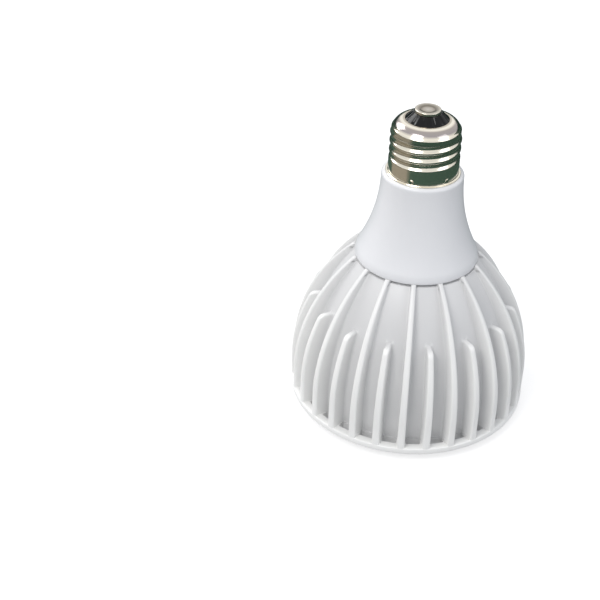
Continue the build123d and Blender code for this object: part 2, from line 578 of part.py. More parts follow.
# Light source: phosphor on a ceramic board, on a thermal pad, held to the web by two screws
with BuildPart() as thermal_pad:
    with BuildSketch(Plane.XY.offset(WEB_FRONT - PAD_THICKNESS)):
        Rectangle(BOARD_SIDE, BOARD_SIDE)
        with Locations((BOARD_SCREW_OFFSET, BOARD_SCREW_OFFSET), (-BOARD_SCREW_OFFSET, -BOARD_SCREW_OFFSET)):
            Circle(BOARD_SCREW_RADIUS + SCREW_CLEARANCE, mode=Mode.SUBTRACT)
    extrude(amount=PAD_THICKNESS)
thermal_pad.part.label = "thermal_pad"
export_step(thermal_pad.part, "parts/thermal_pad.step")

with BuildPart() as source_board:
    with BuildSketch(Plane.XY.offset(BOARD_FRONT)):
        Rectangle(BOARD_SIDE, BOARD_SIDE)
        with Locations((BOARD_SCREW_OFFSET, BOARD_SCREW_OFFSET), (-BOARD_SCREW_OFFSET, -BOARD_SCREW_OFFSET)):
            Circle(BOARD_SCREW_RADIUS + SCREW_CLEARANCE, mode=Mode.SUBTRACT)
    extrude(amount=BOARD_THICKNESS)
source_board.part.label = "source_board"
export_step(source_board.part, "parts/source_board.step")

with BuildPart() as phosphor:
    with BuildSketch(Plane.XY.offset(BOARD_FRONT)):
        Circle(PHOSPHOR_RADIUS)
    extrude(amount=-PHOSPHOR_THICKNESS)
phosphor.part.label = "phosphor"
export_step(phosphor.part, "parts/phosphor.step")

with BuildPart() as board_screws:
    with BuildSketch(Plane.XY.offset(BOARD_FRONT)):
        with Locations((BOARD_SCREW_OFFSET, BOARD_SCREW_OFFSET), (-BOARD_SCREW_OFFSET, -BOARD_SCREW_OFFSET)):
            Circle(BOARD_SCREW_HEAD)
    extrude(amount=-BOARD_SCREW_HEAD_HEIGHT)
    with BuildSketch(Plane.XY.offset(BOARD_FRONT)):
        with Locations((BOARD_SCREW_OFFSET, BOARD_SCREW_OFFSET), (-BOARD_SCREW_OFFSET, -BOARD_SCREW_OFFSET)):
            Circle(BOARD_SCREW_RADIUS)
    extrude(amount=BOARD_SCREW_LENGTH)
board_screws.part.label = "board_screws"
export_step(board_screws.part, "parts/board_screws.step")

# Housing screws: up through the web into the posts of the driver tube
with BuildPart() as housing_screws:
    with BuildSketch(Plane.XY.offset(WEB_FRONT)):
        with Locations((0, POST_OFFSET), (0, -POST_OFFSET)):
            Circle(HOUSING_SCREW_HEAD)
    extrude(amount=-HOUSING_SCREW_HEAD_HEIGHT)
    with BuildSketch(Plane.XY.offset(WEB_FRONT)):
        with Locations((0, POST_OFFSET), (0, -POST_OFFSET)):
            Circle(HOUSING_SCREW_RADIUS)
    extrude(amount=HOUSING_SCREW_LENGTH)
housing_screws.part.label = "housing_screws"
export_step(housing_screws.part, "parts/housing_screws.step")

# Driver board: stands in the tube's guide rails and narrows where it enters the neck
driver_foot = RAIL_BOTTOM + RAIL_SEAT
board_face = DRIVER_THICKNESS / 2
with BuildPart() as driver_board:
    with BuildSketch(Plane.XZ):
        with BuildLine():
            taper_start = driver_foot + DRIVER_TAPER_START
            taper_end = driver_foot + DRIVER_TAPER_END
            Polyline((0, driver_foot), (DRIVER_FOOT_WIDTH / 2, driver_foot),
                     (DRIVER_FOOT_WIDTH / 2, taper_start), (DRIVER_HEAD_WIDTH / 2, taper_end),
                     (DRIVER_HEAD_WIDTH / 2, driver_foot + DRIVER_LENGTH), (0, driver_foot + DRIVER_LENGTH),
                     close=True)
        make_face()
        mirror(about=Plane.YZ)
    extrude(amount=board_face, both=True)
driver_board.part.label = "driver_board"
export_step(driver_board.part, "parts/driver_board.step")

# Transformer: a ferrite core of two E halves round a taped winding
winding_centre = (0, board_face + WINDING_RADIUS, driver_foot + TRANSFORMER_HEIGHT)
with BuildPart() as transformer_core:
    with Locations(winding_centre):
        Box(CORE_WIDTH, CORE_DEPTH, CORE_LENGTH)
        Box(2 * (WINDING_RADIUS + WINDING_CLEARANCE), CORE_DEPTH, WINDING_LENGTH, mode=Mode.SUBTRACT)
        Cylinder(CORE_LEG_RADIUS, WINDING_LENGTH)
transformer_core.part.label = "transformer_core"
export_step(transformer_core.part, "parts/transformer_core.step")

with BuildPart() as transformer_winding:
    with Locations(winding_centre):
        Cylinder(WINDING_RADIUS, WINDING_LENGTH)
        Cylinder(CORE_LEG_RADIUS, WINDING_LENGTH, mode=Mode.SUBTRACT)
transformer_winding.part.label = "transformer_winding"
export_step(transformer_winding.part, "parts/transformer_winding.step")


def make_can(radius, length, x, height):
    """An electrolytic capacitor lying against the board, with the rolled bead near its rubber end."""
    bead = radius / 10
    with BuildPart() as can:
        with BuildSketch(Plane((x, board_face + radius, driver_foot + height), x_dir=(1, 0, 0),
                               z_dir=(0, -1, 0))):
            with BuildLine():
                Polyline((0, 0), (radius, 0), (radius, 2 * bead), (radius - bead, 3 * bead),
                         (radius, 4 * bead), (radius, length), (0, length), close=True)
            make_face()
        revolve(axis=Axis((x, board_face + radius, 0), (0, 0, 1)))
    return can


# Capacitors on the back of the board
input_capacitor = make_can(INPUT_CAN_RADIUS, INPUT_CAN_LENGTH, 0, INPUT_CAN_HEIGHT)
input_capacitor.part.label = "input_capacitor"
export_step(input_capacitor.part, "parts/input_capacitor.step")

output_capacitor = make_can(OUTPUT_CAN_RADIUS, OUTPUT_CAN_LENGTH, OUTPUT_CAN_X, OUTPUT_CAN_HEIGHT)
output_capacitor.part.label = "output_capacitor"
export_step(output_capacitor.part, "parts/output_capacitor.step")

# Choke: a drum core with its winding, on the front of the board
with BuildPart() as choke:
    choke_y = -board_face - CHOKE_RADIUS
    choke_foot = (CHOKE_X, choke_y, driver_foot + CHOKE_HEIGHT)
    with BuildSketch(Plane(choke_foot, x_dir=(1, 0, 0), z_dir=(0, -1, 0))):
        with BuildLine():
            waist = CHOKE_RADIUS - CHOKE_LIP
            Polyline((0, 0), (CHOKE_RADIUS, 0), (CHOKE_RADIUS, CHOKE_LIP), (waist, CHOKE_LIP),
                     (waist, CHOKE_LENGTH - CHOKE_LIP), (CHOKE_RADIUS, CHOKE_LENGTH - CHOKE_LIP),
                     (CHOKE_RADIUS, CHOKE_LENGTH), (0, CHOKE_LENGTH), close=True)
        make_face()
    revolve(axis=Axis((CHOKE_X, choke_y, 0), (0, 0, 1)))
choke.part.label = "choke"
export_step(choke.part, "parts/choke.step")


def make_block(size, x, height):
    """A boxed component on the front of the board, with its edges broken."""
    with BuildPart() as block:
        with Locations((x, -board_face - size[1] / 2, driver_foot + height)):
            Box(*size, align=(Align.CENTER, Align.CENTER, Align.MIN))
        chamfer(block.faces().sort_by(Axis.Y)[0].edges(), length=BLOCK_EDGE)
    return block


film_capacitor = make_block(FILM_SIZE, FILM_X, FILM_HEIGHT)
film_capacitor.part.label = "film_capacitor"
export_step(film_capacitor.part, "parts/film_capacitor.step")

driver_chip = make_block(CHIP_SIZE, CHIP_X, CHIP_HEIGHT)
driver_chip.part.label = "driver_chip"
export_step(driver_chip.part, "parts/driver_chip.step")

bridge_rectifier = make_block(BRIDGE_SIZE, BRIDGE_X, BRIDGE_HEIGHT)
bridge_rectifier.part.label = "bridge_rectifier"
export_step(bridge_rectifier.part, "parts/bridge_rectifier.step")

with BuildPart() as fuse_resistor:
    with Locations((FUSE_X, -board_face - FUSE_RADIUS, driver_foot + FUSE_HEIGHT)):
        Cylinder(FUSE_RADIUS, FUSE_LENGTH, align=(Align.CENTER, Align.CENTER, Align.MIN))
    fillet(fuse_resistor.edges().filter_by(GeomType.CIRCLE), radius=FUSE_RADIUS / 2)
fuse_resistor.part.label = "fuse_resistor"
export_step(fuse_resistor.part, "parts/fuse_resistor.step")


def make_lead(points, bends):
    """An insulated lead along straight runs joined by bends."""
    with BuildPart() as lead:
        with BuildLine() as route:
            FilletPolyline(*points, radius=bends)
        with BuildSketch(Plane(origin=route.line @ 0, z_dir=route.line % 0)):
            Circle(LEAD_RADIUS)
        sweep()
    return lead


# Leads from the board's foot through the web to the light source
lead_side = board_face + LEAD_RADIUS
lead_drop = BOARD_FRONT - LEAD_RADIUS
for name, side in (("source_lead_positive", lead_side), ("source_lead_negative", -lead_side)):
    source_lead = make_lead([(LEAD_OFFSET, side, driver_foot + SOURCE_LEAD_JOINT),
                             (LEAD_OFFSET, side, lead_drop),
                             (PHOSPHOR_RADIUS + LEAD_STANDOFF, side, lead_drop)], LEAD_BEND)
    source_lead.part.label = name
    export_step(source_lead.part, f"parts/{name}.step")

# Leads from the board's head to the centre contact and to the shell
driver_head = driver_foot + DRIVER_LENGTH
live_lead = make_lead([(0, lead_side, driver_head - LEAD_JOINT), (0, lead_side, NECK_TOP),
                       (0, 0, SPIGOT_TOP), (0, 0, rivet_foot - RIVET_HEAD)], LEAD_SWING)
live_lead.part.label = "live_lead"
export_step(live_lead.part, "parts/live_lead.step")

shell_inside = THREAD_BORE - LEAD_RADIUS
neutral_lead = make_lead([(-NEUTRAL_X, -lead_side, driver_head - LEAD_JOINT),
                          (-NEUTRAL_X, -lead_side, SPIGOT_TOP),
                          (-shell_inside, -lead_side, DOME_FOOT)], LEAD_BEND)
neutral_lead.part.label = "neutral_lead"
export_step(neutral_lead.part, "parts/neutral_lead.step")
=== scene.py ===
import math

import bmesh
import bpy
from mathutils import Matrix, Vector


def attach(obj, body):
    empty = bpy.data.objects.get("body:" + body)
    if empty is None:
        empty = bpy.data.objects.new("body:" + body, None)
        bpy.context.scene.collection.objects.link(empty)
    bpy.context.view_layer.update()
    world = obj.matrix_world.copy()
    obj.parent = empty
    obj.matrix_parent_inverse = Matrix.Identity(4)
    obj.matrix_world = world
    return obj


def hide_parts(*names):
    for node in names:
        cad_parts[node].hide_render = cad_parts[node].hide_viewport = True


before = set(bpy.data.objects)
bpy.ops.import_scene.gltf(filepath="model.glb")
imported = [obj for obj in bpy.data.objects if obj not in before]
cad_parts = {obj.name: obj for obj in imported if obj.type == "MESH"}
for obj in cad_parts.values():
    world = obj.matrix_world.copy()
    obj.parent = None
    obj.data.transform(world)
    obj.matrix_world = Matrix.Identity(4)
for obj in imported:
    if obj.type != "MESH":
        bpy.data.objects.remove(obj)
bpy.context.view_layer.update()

# LED grow light bulb, standing on its face with the screw base up. Lengths are written in
# millimetres and turned into metres where a mesh is made. Z = 0 is the surface it stands on.
MM = 0.001

# Heat sink casting
RIM_RADIUS = 47.5
RIM_PLANE = 3.5
RIM_THICKNESS = 2.7
RIM_EDGE = 0.6
RIM_BAND = 45.9              # whole circle between the slots and the rim's rounded edge
CASTING_FOOT = RIM_PLANE + 0.3
LOW_LEVEL = 9.0
SHOULDER = 16.0
OUTLINE_ARC = 67.3
CORE_RADIUS = 41.0
CORE_ARC = 77.2
CORE_TOP = 64.8
CORE_WALL = 2.5
INNER_WALL_LEVEL = 21.0
WEB_FRONT = 27.0
WEB_BACK = 31.5
COLLAR_RADIUS = 20.35
COLLAR_DEPTH = 3.0
FIN_PAIRS = 15
FIN_FOOT = 3.1
FIN_TIP = 1.8
FIN_EDGE = 0.8
FIN_EDGE_SHARE = 0.92        # most of a fin's half thickness that its edge rounding may take
FIN_INSET = 0.15
FIN_ROOT_FILLET = 0.7
SHORT_FIN_TOP = 46.3
SHORT_FIN_ROUND = 3.5
SHORT_FIN_LEAN = math.asin((SHORT_FIN_TOP - SHORT_FIN_ROUND - SHOULDER) / OUTLINE_ARC)
SHORT_FIN_EDGE_SHARE = 0.95
SHORT_FIN_LEAST_EDGE = 0.05
HEAD_TOP = 66.2
HEAD_OVERLAP = 0.6
HEAD_EASE = 0.15
SLOT_INNER = 41.35
SLOT_OUTER = 44.35
SLOT_LENGTH = 5.5
PAD_INNER = 20.95
PAIR_ANGLE = 2 * math.pi / FIN_PAIRS
QUARTER_PAIR = PAIR_ANGLE / 4
COPY_WELD_GAP = 1e-5         # metres
CASTING_GAP = 2e-6           # metres

# Neck
NECK_SEAT = 65.8
NECK_RIM_RADIUS = 23.75
NECK_NOTCH = 23.95
NECK_FLARE_TOP = 69.0
NECK_SWEEP = 66.9
NECK_TOP_RADIUS = 15.4
NECK_SWEEP_TOP = 100.0
NECK_TOP = 101.2
LEDGE = 100.4
SOCKET_RADIUS = 13.25
SPIGOT_RADIUS = 11.86
SPIGOT_TOP = 114.9
SPIGOT_BORE = 10.2
NECK_CEILING = 98.4
NECK_WALL = 2.0
NECK_ROOM_EASE = 0.5
RIM_EASE = 0.3
LIP_FOOT = NECK_TOP_RADIUS - (NECK_TOP - NECK_SWEEP_TOP)
TUBE_RADIUS = 20.2
TUBE_BORE = 18.6
POST_RADIUS = 3.4
POST_HEIGHT = 14.0
POST_OFFSET = 15.5
HOUSING_SCREW_HOLE = 1.35
DRIVER_FOOT_HALF = 13.6
RAIL_REACH = 5.6
RAIL_OFFSET = 1.7
RAIL_CHEEK = 1.6
RAIL_FOOT = 4.0
RAIL_HEIGHT = 24.0

# Screw shell, seven turns to the inch
THREAD_PITCH = 25.4 / 7
THREAD_MEAN = 12.73
THREAD_WAVE = 0.42
THREAD_ROOT = THREAD_MEAN - THREAD_WAVE
THREAD_CREST = THREAD_MEAN + THREAD_WAVE
THREAD_NARROWING = 0.06      # share of the wave that narrows its crests
THREAD_BOTTOM = 107.0
THREAD_START = (-0.5, 1.1)   # above the thread's bottom, where it grows out of the skirt
THREAD_END = (-0.9, 0.2)     # above the dome's foot, where it dies out
THREAD_PHASE = math.radians(259.4)
SHELL_WALL = 0.35
SHELL_END_RADIUS = 8.1
SHELL_END = 122.4
DOME_FOOT = 117.6
DOME_ROUND = SHELL_END - DOME_FOOT
DOME_SPREAD = (4, 88)        # degrees of the dome's arc, from its foot to its end
SHOULDER_ROLL = 119.0
SHOULDER_ROLL_RISE = 0.22
SHELL_BORE = THREAD_ROOT - SHELL_WALL
SKIRT_BORE = THREAD_CREST - SHELL_WALL
SKIRT_BORE_DRAW = 0.6
BEAD_REACH = 0.8
BEAD_THICKNESS = 0.4
BEAD_TOP = NECK_TOP + BEAD_THICKNESS
BEAD_FILLET = 0.12
PUNCH_COUNT = 6
PUNCH_PHASE = math.radians(6.4)
PUNCH_HEIGHT = 102.8
PUNCH_RADIUS = 0.95
PUNCH_DEPTH = 0.3

# Insulator and contact
INSULATOR_TOP_RADIUS = 5.3
INSULATOR_TOP = 125.0
INSULATOR_FIT = 0.1
FLANGE_RADIUS = 9.0
FLANGE_TOP = 121.75
FLANGE_FOOT = 119.55
RIB_COUNT = 12
RIB_DEPTH = 0.45
RIB_SHARPNESS = 1.5
RIB_FADE = 0.35
CONTACT_RADIUS = 4.8
CONTACT_TOP = 126.2
CONTACT_EASE = 0.35
CONTACT_FOOT_EASE = 0.15
DISH_DROP = 0.35
DISH_FLAT = 2.2
DISH_RISE = 3.7
RIVET_RADIUS = 1.6
RIVET_HOLE = RIVET_RADIUS + 0.05
RIVET_HEAD_RADIUS = 2.6
RIVET_FOOT = 118.95

# Bezel and lens
BEZEL_RADIUS = 40.6
BEZEL_BORE = 37.5
BEZEL_BORE_EASE = 0.25
BEZEL_SKIRT_RADIUS = 38.4
BEZEL_SKIRT = 1.5
BEZEL_ROUND = 1.5
BEZEL_BACK_EASE = 0.2
BEZEL_DEPTH = 11.0
BEZEL_END_EASE = 0.3
LEDGE_RADIUS = 35.2
LEDGE_FRONT = 3.0
LEDGE_BACK = 4.5
LENS_FACE = 0.9
LENS_FLANGE_RADIUS = 37.4
LENS_FLANGE_EASE = 0.15
DISH_RADIUS = 35.0
DISH_EDGE = 19.7
DISH_FLOOR = 4.3
DISH_SAG = 0.5
LENS_BACK = 6.7
LENS_BACK_RADIUS = 34.6
OUTER_RING = 17.9
INNER_RING = 13.7
DOME_RADIUS = 10.3
DOME_HEIGHT = 3.0
RING_HEIGHT = 1.2
RING_WIDTH = 1.3
RING_EASE = 0.2
RING_SPREAD = (-20, -160)    # degrees of the outer ring's rounded top
FACET_ROWS = 7
FACET_COLUMNS = 84
FACET_CROWN = 0.28
FACET_LEAN = -0.217          # outward part of the normal where a facet's slope follows the bowl
FACET_LEAN_MARGIN = 0.12

# Reflector cup
CUP_THROAT = 9.4
CUP_END = 24.1
CUP_SAG = 4.5
CUP_WALL = 1.2
CUP_FLANGE = 36.8

# How finely the curves are divided
BLOCK_SEGMENTS = 32
CUP_SEGMENTS = 96
CONTACT_SEGMENTS = 128
WIDE_SEGMENTS = 192
SHELL_SEGMENTS = 288
CORNER_STEPS = 5
ROOT_STEPS = 4
GAP_STEPS = 3
FIN_STEPS = 34
FIN_ROUND_STEPS = 12
FIN_ROUND_CLEARANCE = 0.4
CAVITY_STEPS = 8
RIM_EDGE_STEPS = 4
FLARE_STEPS = 6
NECK_STEPS = 48
LIP_STEPS = 8
ROOM_STEPS = 24
BEAD_STEPS = 6
SKIRT_STEPS = 22
THREAD_STEPS = 104
THREAD_GAP = 0.15            # between the bead's fillet and the first ring of the skirt
DOME_STEPS = 40
DOME_GAP = 0.05              # between the thread's last ring and the dome's first
DOME_BORE_STEPS = 12
CONE_STEPS = 10
CONTACT_EDGE_STEPS = 8
CONTACT_DISH_STEPS = 16
BEZEL_ROUND_STEPS = 10
RING_STEPS = 5
LENS_DOME_STEPS = 12
CUP_STEPS = 14

# Finishes
MOTTLE_SIZE = 12.0
GRAIN_DEPTH = 0.05
PAINTED_SHADE_REACH = 5.5             # how far out from the core the painted shade between the fins fades out

# Studio
FLOOR_HALF = 4000.0
CARD_NEAR = 62.0
CARD_FAR = 620.0
CARD_TOP = 260.0
CARD_LIFT = 1.0
CARD_STEPS = 32
WORLD_LEVEL = 0.71
LAMP_AIM = (0, 0, 60)
CAMERA_LENS = 70.5
CAMERA_SENSOR = 36.0
CAMERA_NEAR = 10.0
CAMERA_PITCH = 34.48
CAMERA_ROLL = -1.17
CAMERA_PLACE = (-44.5, -386.0, 307.0)


# Shared forms
def evenly(start, end, steps):
    """Evenly spaced values from start to end, both included."""
    return [start + (end - start) * step / steps for step in range(steps + 1)]


def circle_arc(centre, radius, start, end, steps):
    """Points of an arc in the radius and height plane, angles in degrees from the radial direction."""
    angles = [math.radians(degrees) for degrees in evenly(start, end, steps)]
    return [(centre[0] + radius * math.cos(angle), centre[1] + radius * math.sin(angle))
            for angle in angles]


def step_up(value, start, end):
    """Smooth change from 0 to 1 between two values."""
    share = min(1.0, max(0.0, (value - start) / (end - start)))
    return share * share * (3 - 2 * share)


def new_piece(name, vertices, faces):
    """A mesh object at the origin from points in millimetres."""
    mesh = bpy.data.meshes.new(name)
    mesh.from_pydata([tuple(MM * value for value in point) for point in vertices], [], faces)
    mesh.validate()
    piece = bpy.data.objects.new(name, mesh)
    bpy.context.scene.collection.objects.link(piece)
    return piece


def close_up(mesh, gap=1e-6):
    """Merges points closer than the gap, in metres, and turns the faces outwards."""
    work = bmesh.new()
    work.from_mesh(mesh)
    bmesh.ops.remove_doubles(work, verts=work.verts, dist=gap)
    bmesh.ops.dissolve_degenerate(work, edges=work.edges, dist=gap)
    bmesh.ops.delete(work, geom=[edge for edge in work.edges if edge.is_wire], context="EDGES")
    bmesh.ops.recalc_face_normals(work, faces=work.faces)
    work.to_mesh(mesh)
    work.free()


def smooth(piece, angle=40):
    """Smooth shading that stays crisp at edges sharper than the angle."""
    piece.data.shade_smooth()
    piece.data.set_sharp_from_angle(angle=math.radians(angle))


def grid_faces(rows, columns, wraps):
    """Quads between neighbouring rows of equally many points."""
    faces = []
    last = columns if wraps else columns - 1
    for row in range(rows - 1):
        for column in range(last):
            right = (column + 1) % columns
            faces.append((row * columns + column, row * columns + right,
                          (row + 1) * columns + right, (row + 1) * columns + column))
    return faces


def ringed_piece(name, rings, angle=40):
    """A closed piece from rings of (radius, height), each ring with a point for every segment."""
    segments = len(rings[0])
    closed = rings + [rings[0]]
    vertices = []
    for ring in closed:
        for segment, (radius, height) in enumerate(ring):
            turn = 2 * math.pi * segment / segments
            vertices.append((radius * math.cos(turn), radius * math.sin(turn), height))
    piece = new_piece(name, vertices, grid_faces(len(closed), segments, True))
    close_up(piece.data)
    smooth(piece, angle)
    return piece


def lathe(name, profile, segments):
    """A closed profile of (radius, height) turned about the axis."""
    return ringed_piece(name, [[point] * segments for point in profile])


def tube_block(x, y, outer, inner, foot, top):
    """A short closed tube that stands at a place, as plain points and faces."""
    vertices = []
    for radius, height in [(inner, foot), (outer, foot), (outer, top), (inner, top)]:
        for segment in range(BLOCK_SEGMENTS):
            angle = 2 * math.pi * segment / BLOCK_SEGMENTS
            vertices.append((x + radius * math.cos(angle), y + radius * math.sin(angle), height))
    faces = grid_faces(4, BLOCK_SEGMENTS, True)
    for segment in range(BLOCK_SEGMENTS):
        right = (segment + 1) % BLOCK_SEGMENTS
        faces.append((3 * BLOCK_SEGMENTS + segment, 3 * BLOCK_SEGMENTS + right, right, segment))
    return vertices, faces


def box_block(middle, size):
    """A box as plain points and faces."""
    vertices = [tuple(middle[axis] + sign[axis] * size[axis] / 2 for axis in range(3))
                for sign in [(-1, -1, -1), (1, -1, -1), (1, 1, -1), (-1, 1, -1),
                             (-1, -1, 1), (1, -1, 1), (1, 1, 1), (-1, 1, 1)]]
    return vertices, [(0, 3, 2, 1), (4, 5, 6, 7), (0, 1, 5, 4), (1, 2, 6, 5), (2, 3, 7, 6), (3, 0, 4, 7)]


def joined(piece, blocks):
    """Adds blocks of points and faces, in millimetres, to a piece's mesh."""
    work = bmesh.new()
    work.from_mesh(piece.data)
    for vertices, faces in blocks:
        added = [work.verts.new([MM * value for value in point]) for point in vertices]
        for face in faces:
            work.faces.new([added[index] for index in face])
    bmesh.ops.recalc_face_normals(work, faces=work.faces)
    work.to_mesh(piece.data)
    work.free()
    smooth(piece)
    return piece


# Shared nodes
def maths(tree, operation, first, second):
    """Output of a maths node, whose second input is a number or another output."""
    node = tree.nodes.new("ShaderNodeMath")
    node.operation = operation
    tree.links.new(first, node.inputs[0])
    if isinstance(second, float):
        node.inputs[1].default_value = second
    else:
        tree.links.new(second, node.inputs[1])
    return node.outputs[0]


def flat_length(tree, across, along):
    """Length of a flat vector, from its two parts."""
    flat = tree.nodes.new("ShaderNodeCombineXYZ")
    length = tree.nodes.new("ShaderNodeVectorMath")
    length.operation = "LENGTH"
    tree.links.new(across, flat.inputs["X"])
    tree.links.new(along, flat.inputs["Y"])
    tree.links.new(flat.outputs["Vector"], length.inputs[0])
    return length.outputs["Value"]


def colour_ramp(tree, stops):
    """A colour ramp with its stops as (position, colour)."""
    ramp = tree.nodes.new("ShaderNodeValToRGB")
    elements = ramp.color_ramp.elements
    for number, (position, colour) in enumerate(stops):
        stop = elements[number] if number < 2 else elements.new(position)
        stop.position = position
        stop.color = (*colour, 1.0)
    return ramp


# Heat sink: sections at many heights, each with the fins' rounded edges and filleted roots
def outline_radius(height):
    """Outer edge of the long fins."""
    rise = max(0.0, height - SHOULDER)
    return RIM_RADIUS - FIN_INSET - OUTLINE_ARC + math.sqrt(OUTLINE_ARC**2 - rise**2)


def core_radius(height):
    """Outside of the core between the fins."""
    rise = max(0.0, height - SHOULDER)
    return CORE_RADIUS - CORE_ARC + math.sqrt(CORE_ARC**2 - rise**2)


def fin_half(height):
    """Half of a fin's thickness, which grows from the neck to the rim."""
    share = (height - RIM_PLANE) / (NECK_SEAT - RIM_PLANE)
    return (FIN_FOOT + (FIN_TIP - FIN_FOOT) * share) / 2


def fin_edge(tip, half, edge):
    """Points (radius direction, side) round a fin's edge, from its middle to its side."""
    return [(tip, 0.0)] + [(tip - edge + edge * math.cos(angle), half - edge + edge * math.sin(angle))
                           for angle in evenly(0, math.pi / 2, CORNER_STEPS)]


def half_fin_section(core, tip, half, edge):
    """Points (radius direction, side) from a fin's middle to the middle of the gap beside it."""
    points = fin_edge(tip, half, edge)
    fillet_side = half + FIN_ROOT_FILLET
    fillet_out = math.sqrt((core + FIN_ROOT_FILLET)**2 - fillet_side**2)
    touch = math.atan2(fillet_side, fillet_out)
    for step in range(ROOT_STEPS + 1):
        angle = -math.pi / 2 - (math.pi / 2 - touch) * step / ROOT_STEPS
        points.append((fillet_out + FIN_ROOT_FILLET * math.cos(angle),
                       fillet_side + FIN_ROOT_FILLET * math.sin(angle)))
    return points + [(core * math.cos(angle), core * math.sin(angle))
                     for angle in evenly(touch, QUARTER_PAIR, GAP_STEPS)[1:]]


def on_circle(half_points, core, radius):
    """A half section's points moved onto a circle, each kept at its own side of the fin."""
    angles = [math.asin(side / core) for out, side in half_points]
    return [(radius * math.cos(angle), radius * math.sin(angle)) for angle in angles]


def whole_section(half_points):
    """Mirrors a half section about the fin's middle, from gap to gap."""
    mirrored = [(x, -y) for x, y in reversed(half_points[1:])]
    return mirrored + half_points


def turned(points, angle):
    """Flat points turned about the axis."""
    cosine, sine = math.cos(angle), math.sin(angle)
    return [(x * cosine - y * sine, x * sine + y * cosine) for x, y in points]


def pair_row(long_half, short_half, height):
    """One row of the pair: the long fin at 0 and the short fin half a pair further on."""
    long_points = whole_section(long_half)
    short_points = turned(whole_section(short_half), PAIR_ANGLE / 2)
    return [(x, y, height) for x, y in long_points + short_points[1:]]


def short_fin_tip(level):
    """Outer edge of a short fin, whose upper corner is rounded."""
    corner_foot = SHORT_FIN_TOP - SHORT_FIN_ROUND * (1 - math.sin(SHORT_FIN_LEAN))
    if level <= corner_foot:
        return outline_radius(level)
    centre = outline_radius(corner_foot) - SHORT_FIN_ROUND * math.cos(SHORT_FIN_LEAN)
    rise = level - (SHORT_FIN_TOP - SHORT_FIN_ROUND)
    return centre + math.sqrt(max(0.0, SHORT_FIN_ROUND**2 - rise**2))


def short_fin_section(level):
    """The short fin's section, drawn in over the last of its height to round its top."""
    drop = max(0.0, level - (SHORT_FIN_TOP - FIN_EDGE))
    pull = FIN_EDGE - math.sqrt(max(0.0, FIN_EDGE**2 - drop**2))
    half = fin_half(level) - pull
    edge = max(SHORT_FIN_LEAST_EDGE, min(FIN_EDGE - pull, half * SHORT_FIN_EDGE_SHARE))
    return half_fin_section(core_radius(level), short_fin_tip(level) - pull / 2, half, edge)


def long_fin_section(level):
    """The long fin's section, out to the lamp's outline."""
    half = fin_half(level)
    edge = min(FIN_EDGE, half * FIN_EDGE_SHARE)
    return half_fin_section(core_radius(level), outline_radius(level), half, edge)


def casting_levels():
    """Heights of the outside's rows, closer together where the short fins' tops are rounded."""
    rounding = [SHORT_FIN_TOP - SHORT_FIN_ROUND * (1 - math.sin(lean))
                for lean in evenly(SHORT_FIN_LEAN, math.pi / 2, FIN_ROUND_STEPS)]
    low, high = rounding[0] - FIN_ROUND_CLEARANCE, rounding[-1] + FIN_ROUND_CLEARANCE
    plain = [CASTING_FOOT, LOW_LEVEL] + evenly(SHOULDER, CORE_TOP, FIN_STEPS)
    return sorted([level for level in plain if not low < level < high] + rounding)


def casting_rows():
    """Rows of one pair of fins: from the web down to the foot, up outside and down inside the core."""
    foot, head = long_fin_section(RIM_PLANE), long_fin_section(CORE_TOP)
    crown = short_fin_section(SHORT_FIN_TOP)
    crown_core = core_radius(SHORT_FIN_TOP)
    rows = []
    for radius, height in [(0.0, WEB_FRONT), (core_radius(WEB_FRONT) - CORE_WALL, WEB_FRONT),
                           (core_radius(INNER_WALL_LEVEL) - CORE_WALL, INNER_WALL_LEVEL),
                           (CORE_RADIUS - CORE_WALL, SHOULDER), (CORE_RADIUS - CORE_WALL, CASTING_FOOT)]:
        ring = on_circle(foot, CORE_RADIUS, radius)
        rows.append(pair_row(ring, ring, height))
    for level in casting_levels():
        long_fin = long_fin_section(level)
        if level <= SHORT_FIN_TOP:
            rows.append(pair_row(long_fin, short_fin_section(level), level))
        if level >= SHORT_FIN_TOP:
            rows.append(pair_row(long_fin, on_circle(crown, crown_core, core_radius(level)), level))
    collar_foot = CORE_TOP - COLLAR_DEPTH
    cavity = [(COLLAR_RADIUS, CORE_TOP), (COLLAR_RADIUS, collar_foot)]
    cavity += [(core_radius(level) - CORE_WALL, level)
               for level in evenly(collar_foot, WEB_BACK, CAVITY_STEPS)]
    for radius, height in cavity + [(0.0, WEB_BACK)]:
        rows.append(pair_row(on_circle(head, core_radius(CORE_TOP), radius),
                             on_circle(crown, crown_core, radius), height))
    return rows


def fin_head(vertices, faces):
    """The long fin's top between the core and the neck: a pad with a notch for the neck's rim."""
    stations = [(CORE_TOP - HEAD_OVERLAP, PAD_INNER), (CORE_TOP, PAD_INNER), (NECK_SEAT, PAD_INNER),
                (NECK_SEAT, NECK_NOTCH), (HEAD_TOP - HEAD_EASE, NECK_NOTCH), (HEAD_TOP, NECK_NOTCH)]
    start = len(vertices)
    for height, inner in stations:
        half = fin_half(height)
        tip = outline_radius(height) - (HEAD_EASE if height == HEAD_TOP else 0.0)
        side = fin_edge(tip, half, min(FIN_EDGE, half * FIN_EDGE_SHARE, tip - inner)) + [(inner, half)]
        ring = whole_section(side)
        vertices.extend((x, y, height) for x, y in ring)
    ring_size = len(ring)
    for face in grid_faces(len(stations), ring_size, True):
        faces.append(tuple(start + index for index in face))
    faces.append(tuple(start + index for index in reversed(range(ring_size))))
    last = start + (len(stations) - 1) * ring_size
    faces.append(tuple(last + index for index in range(ring_size)))


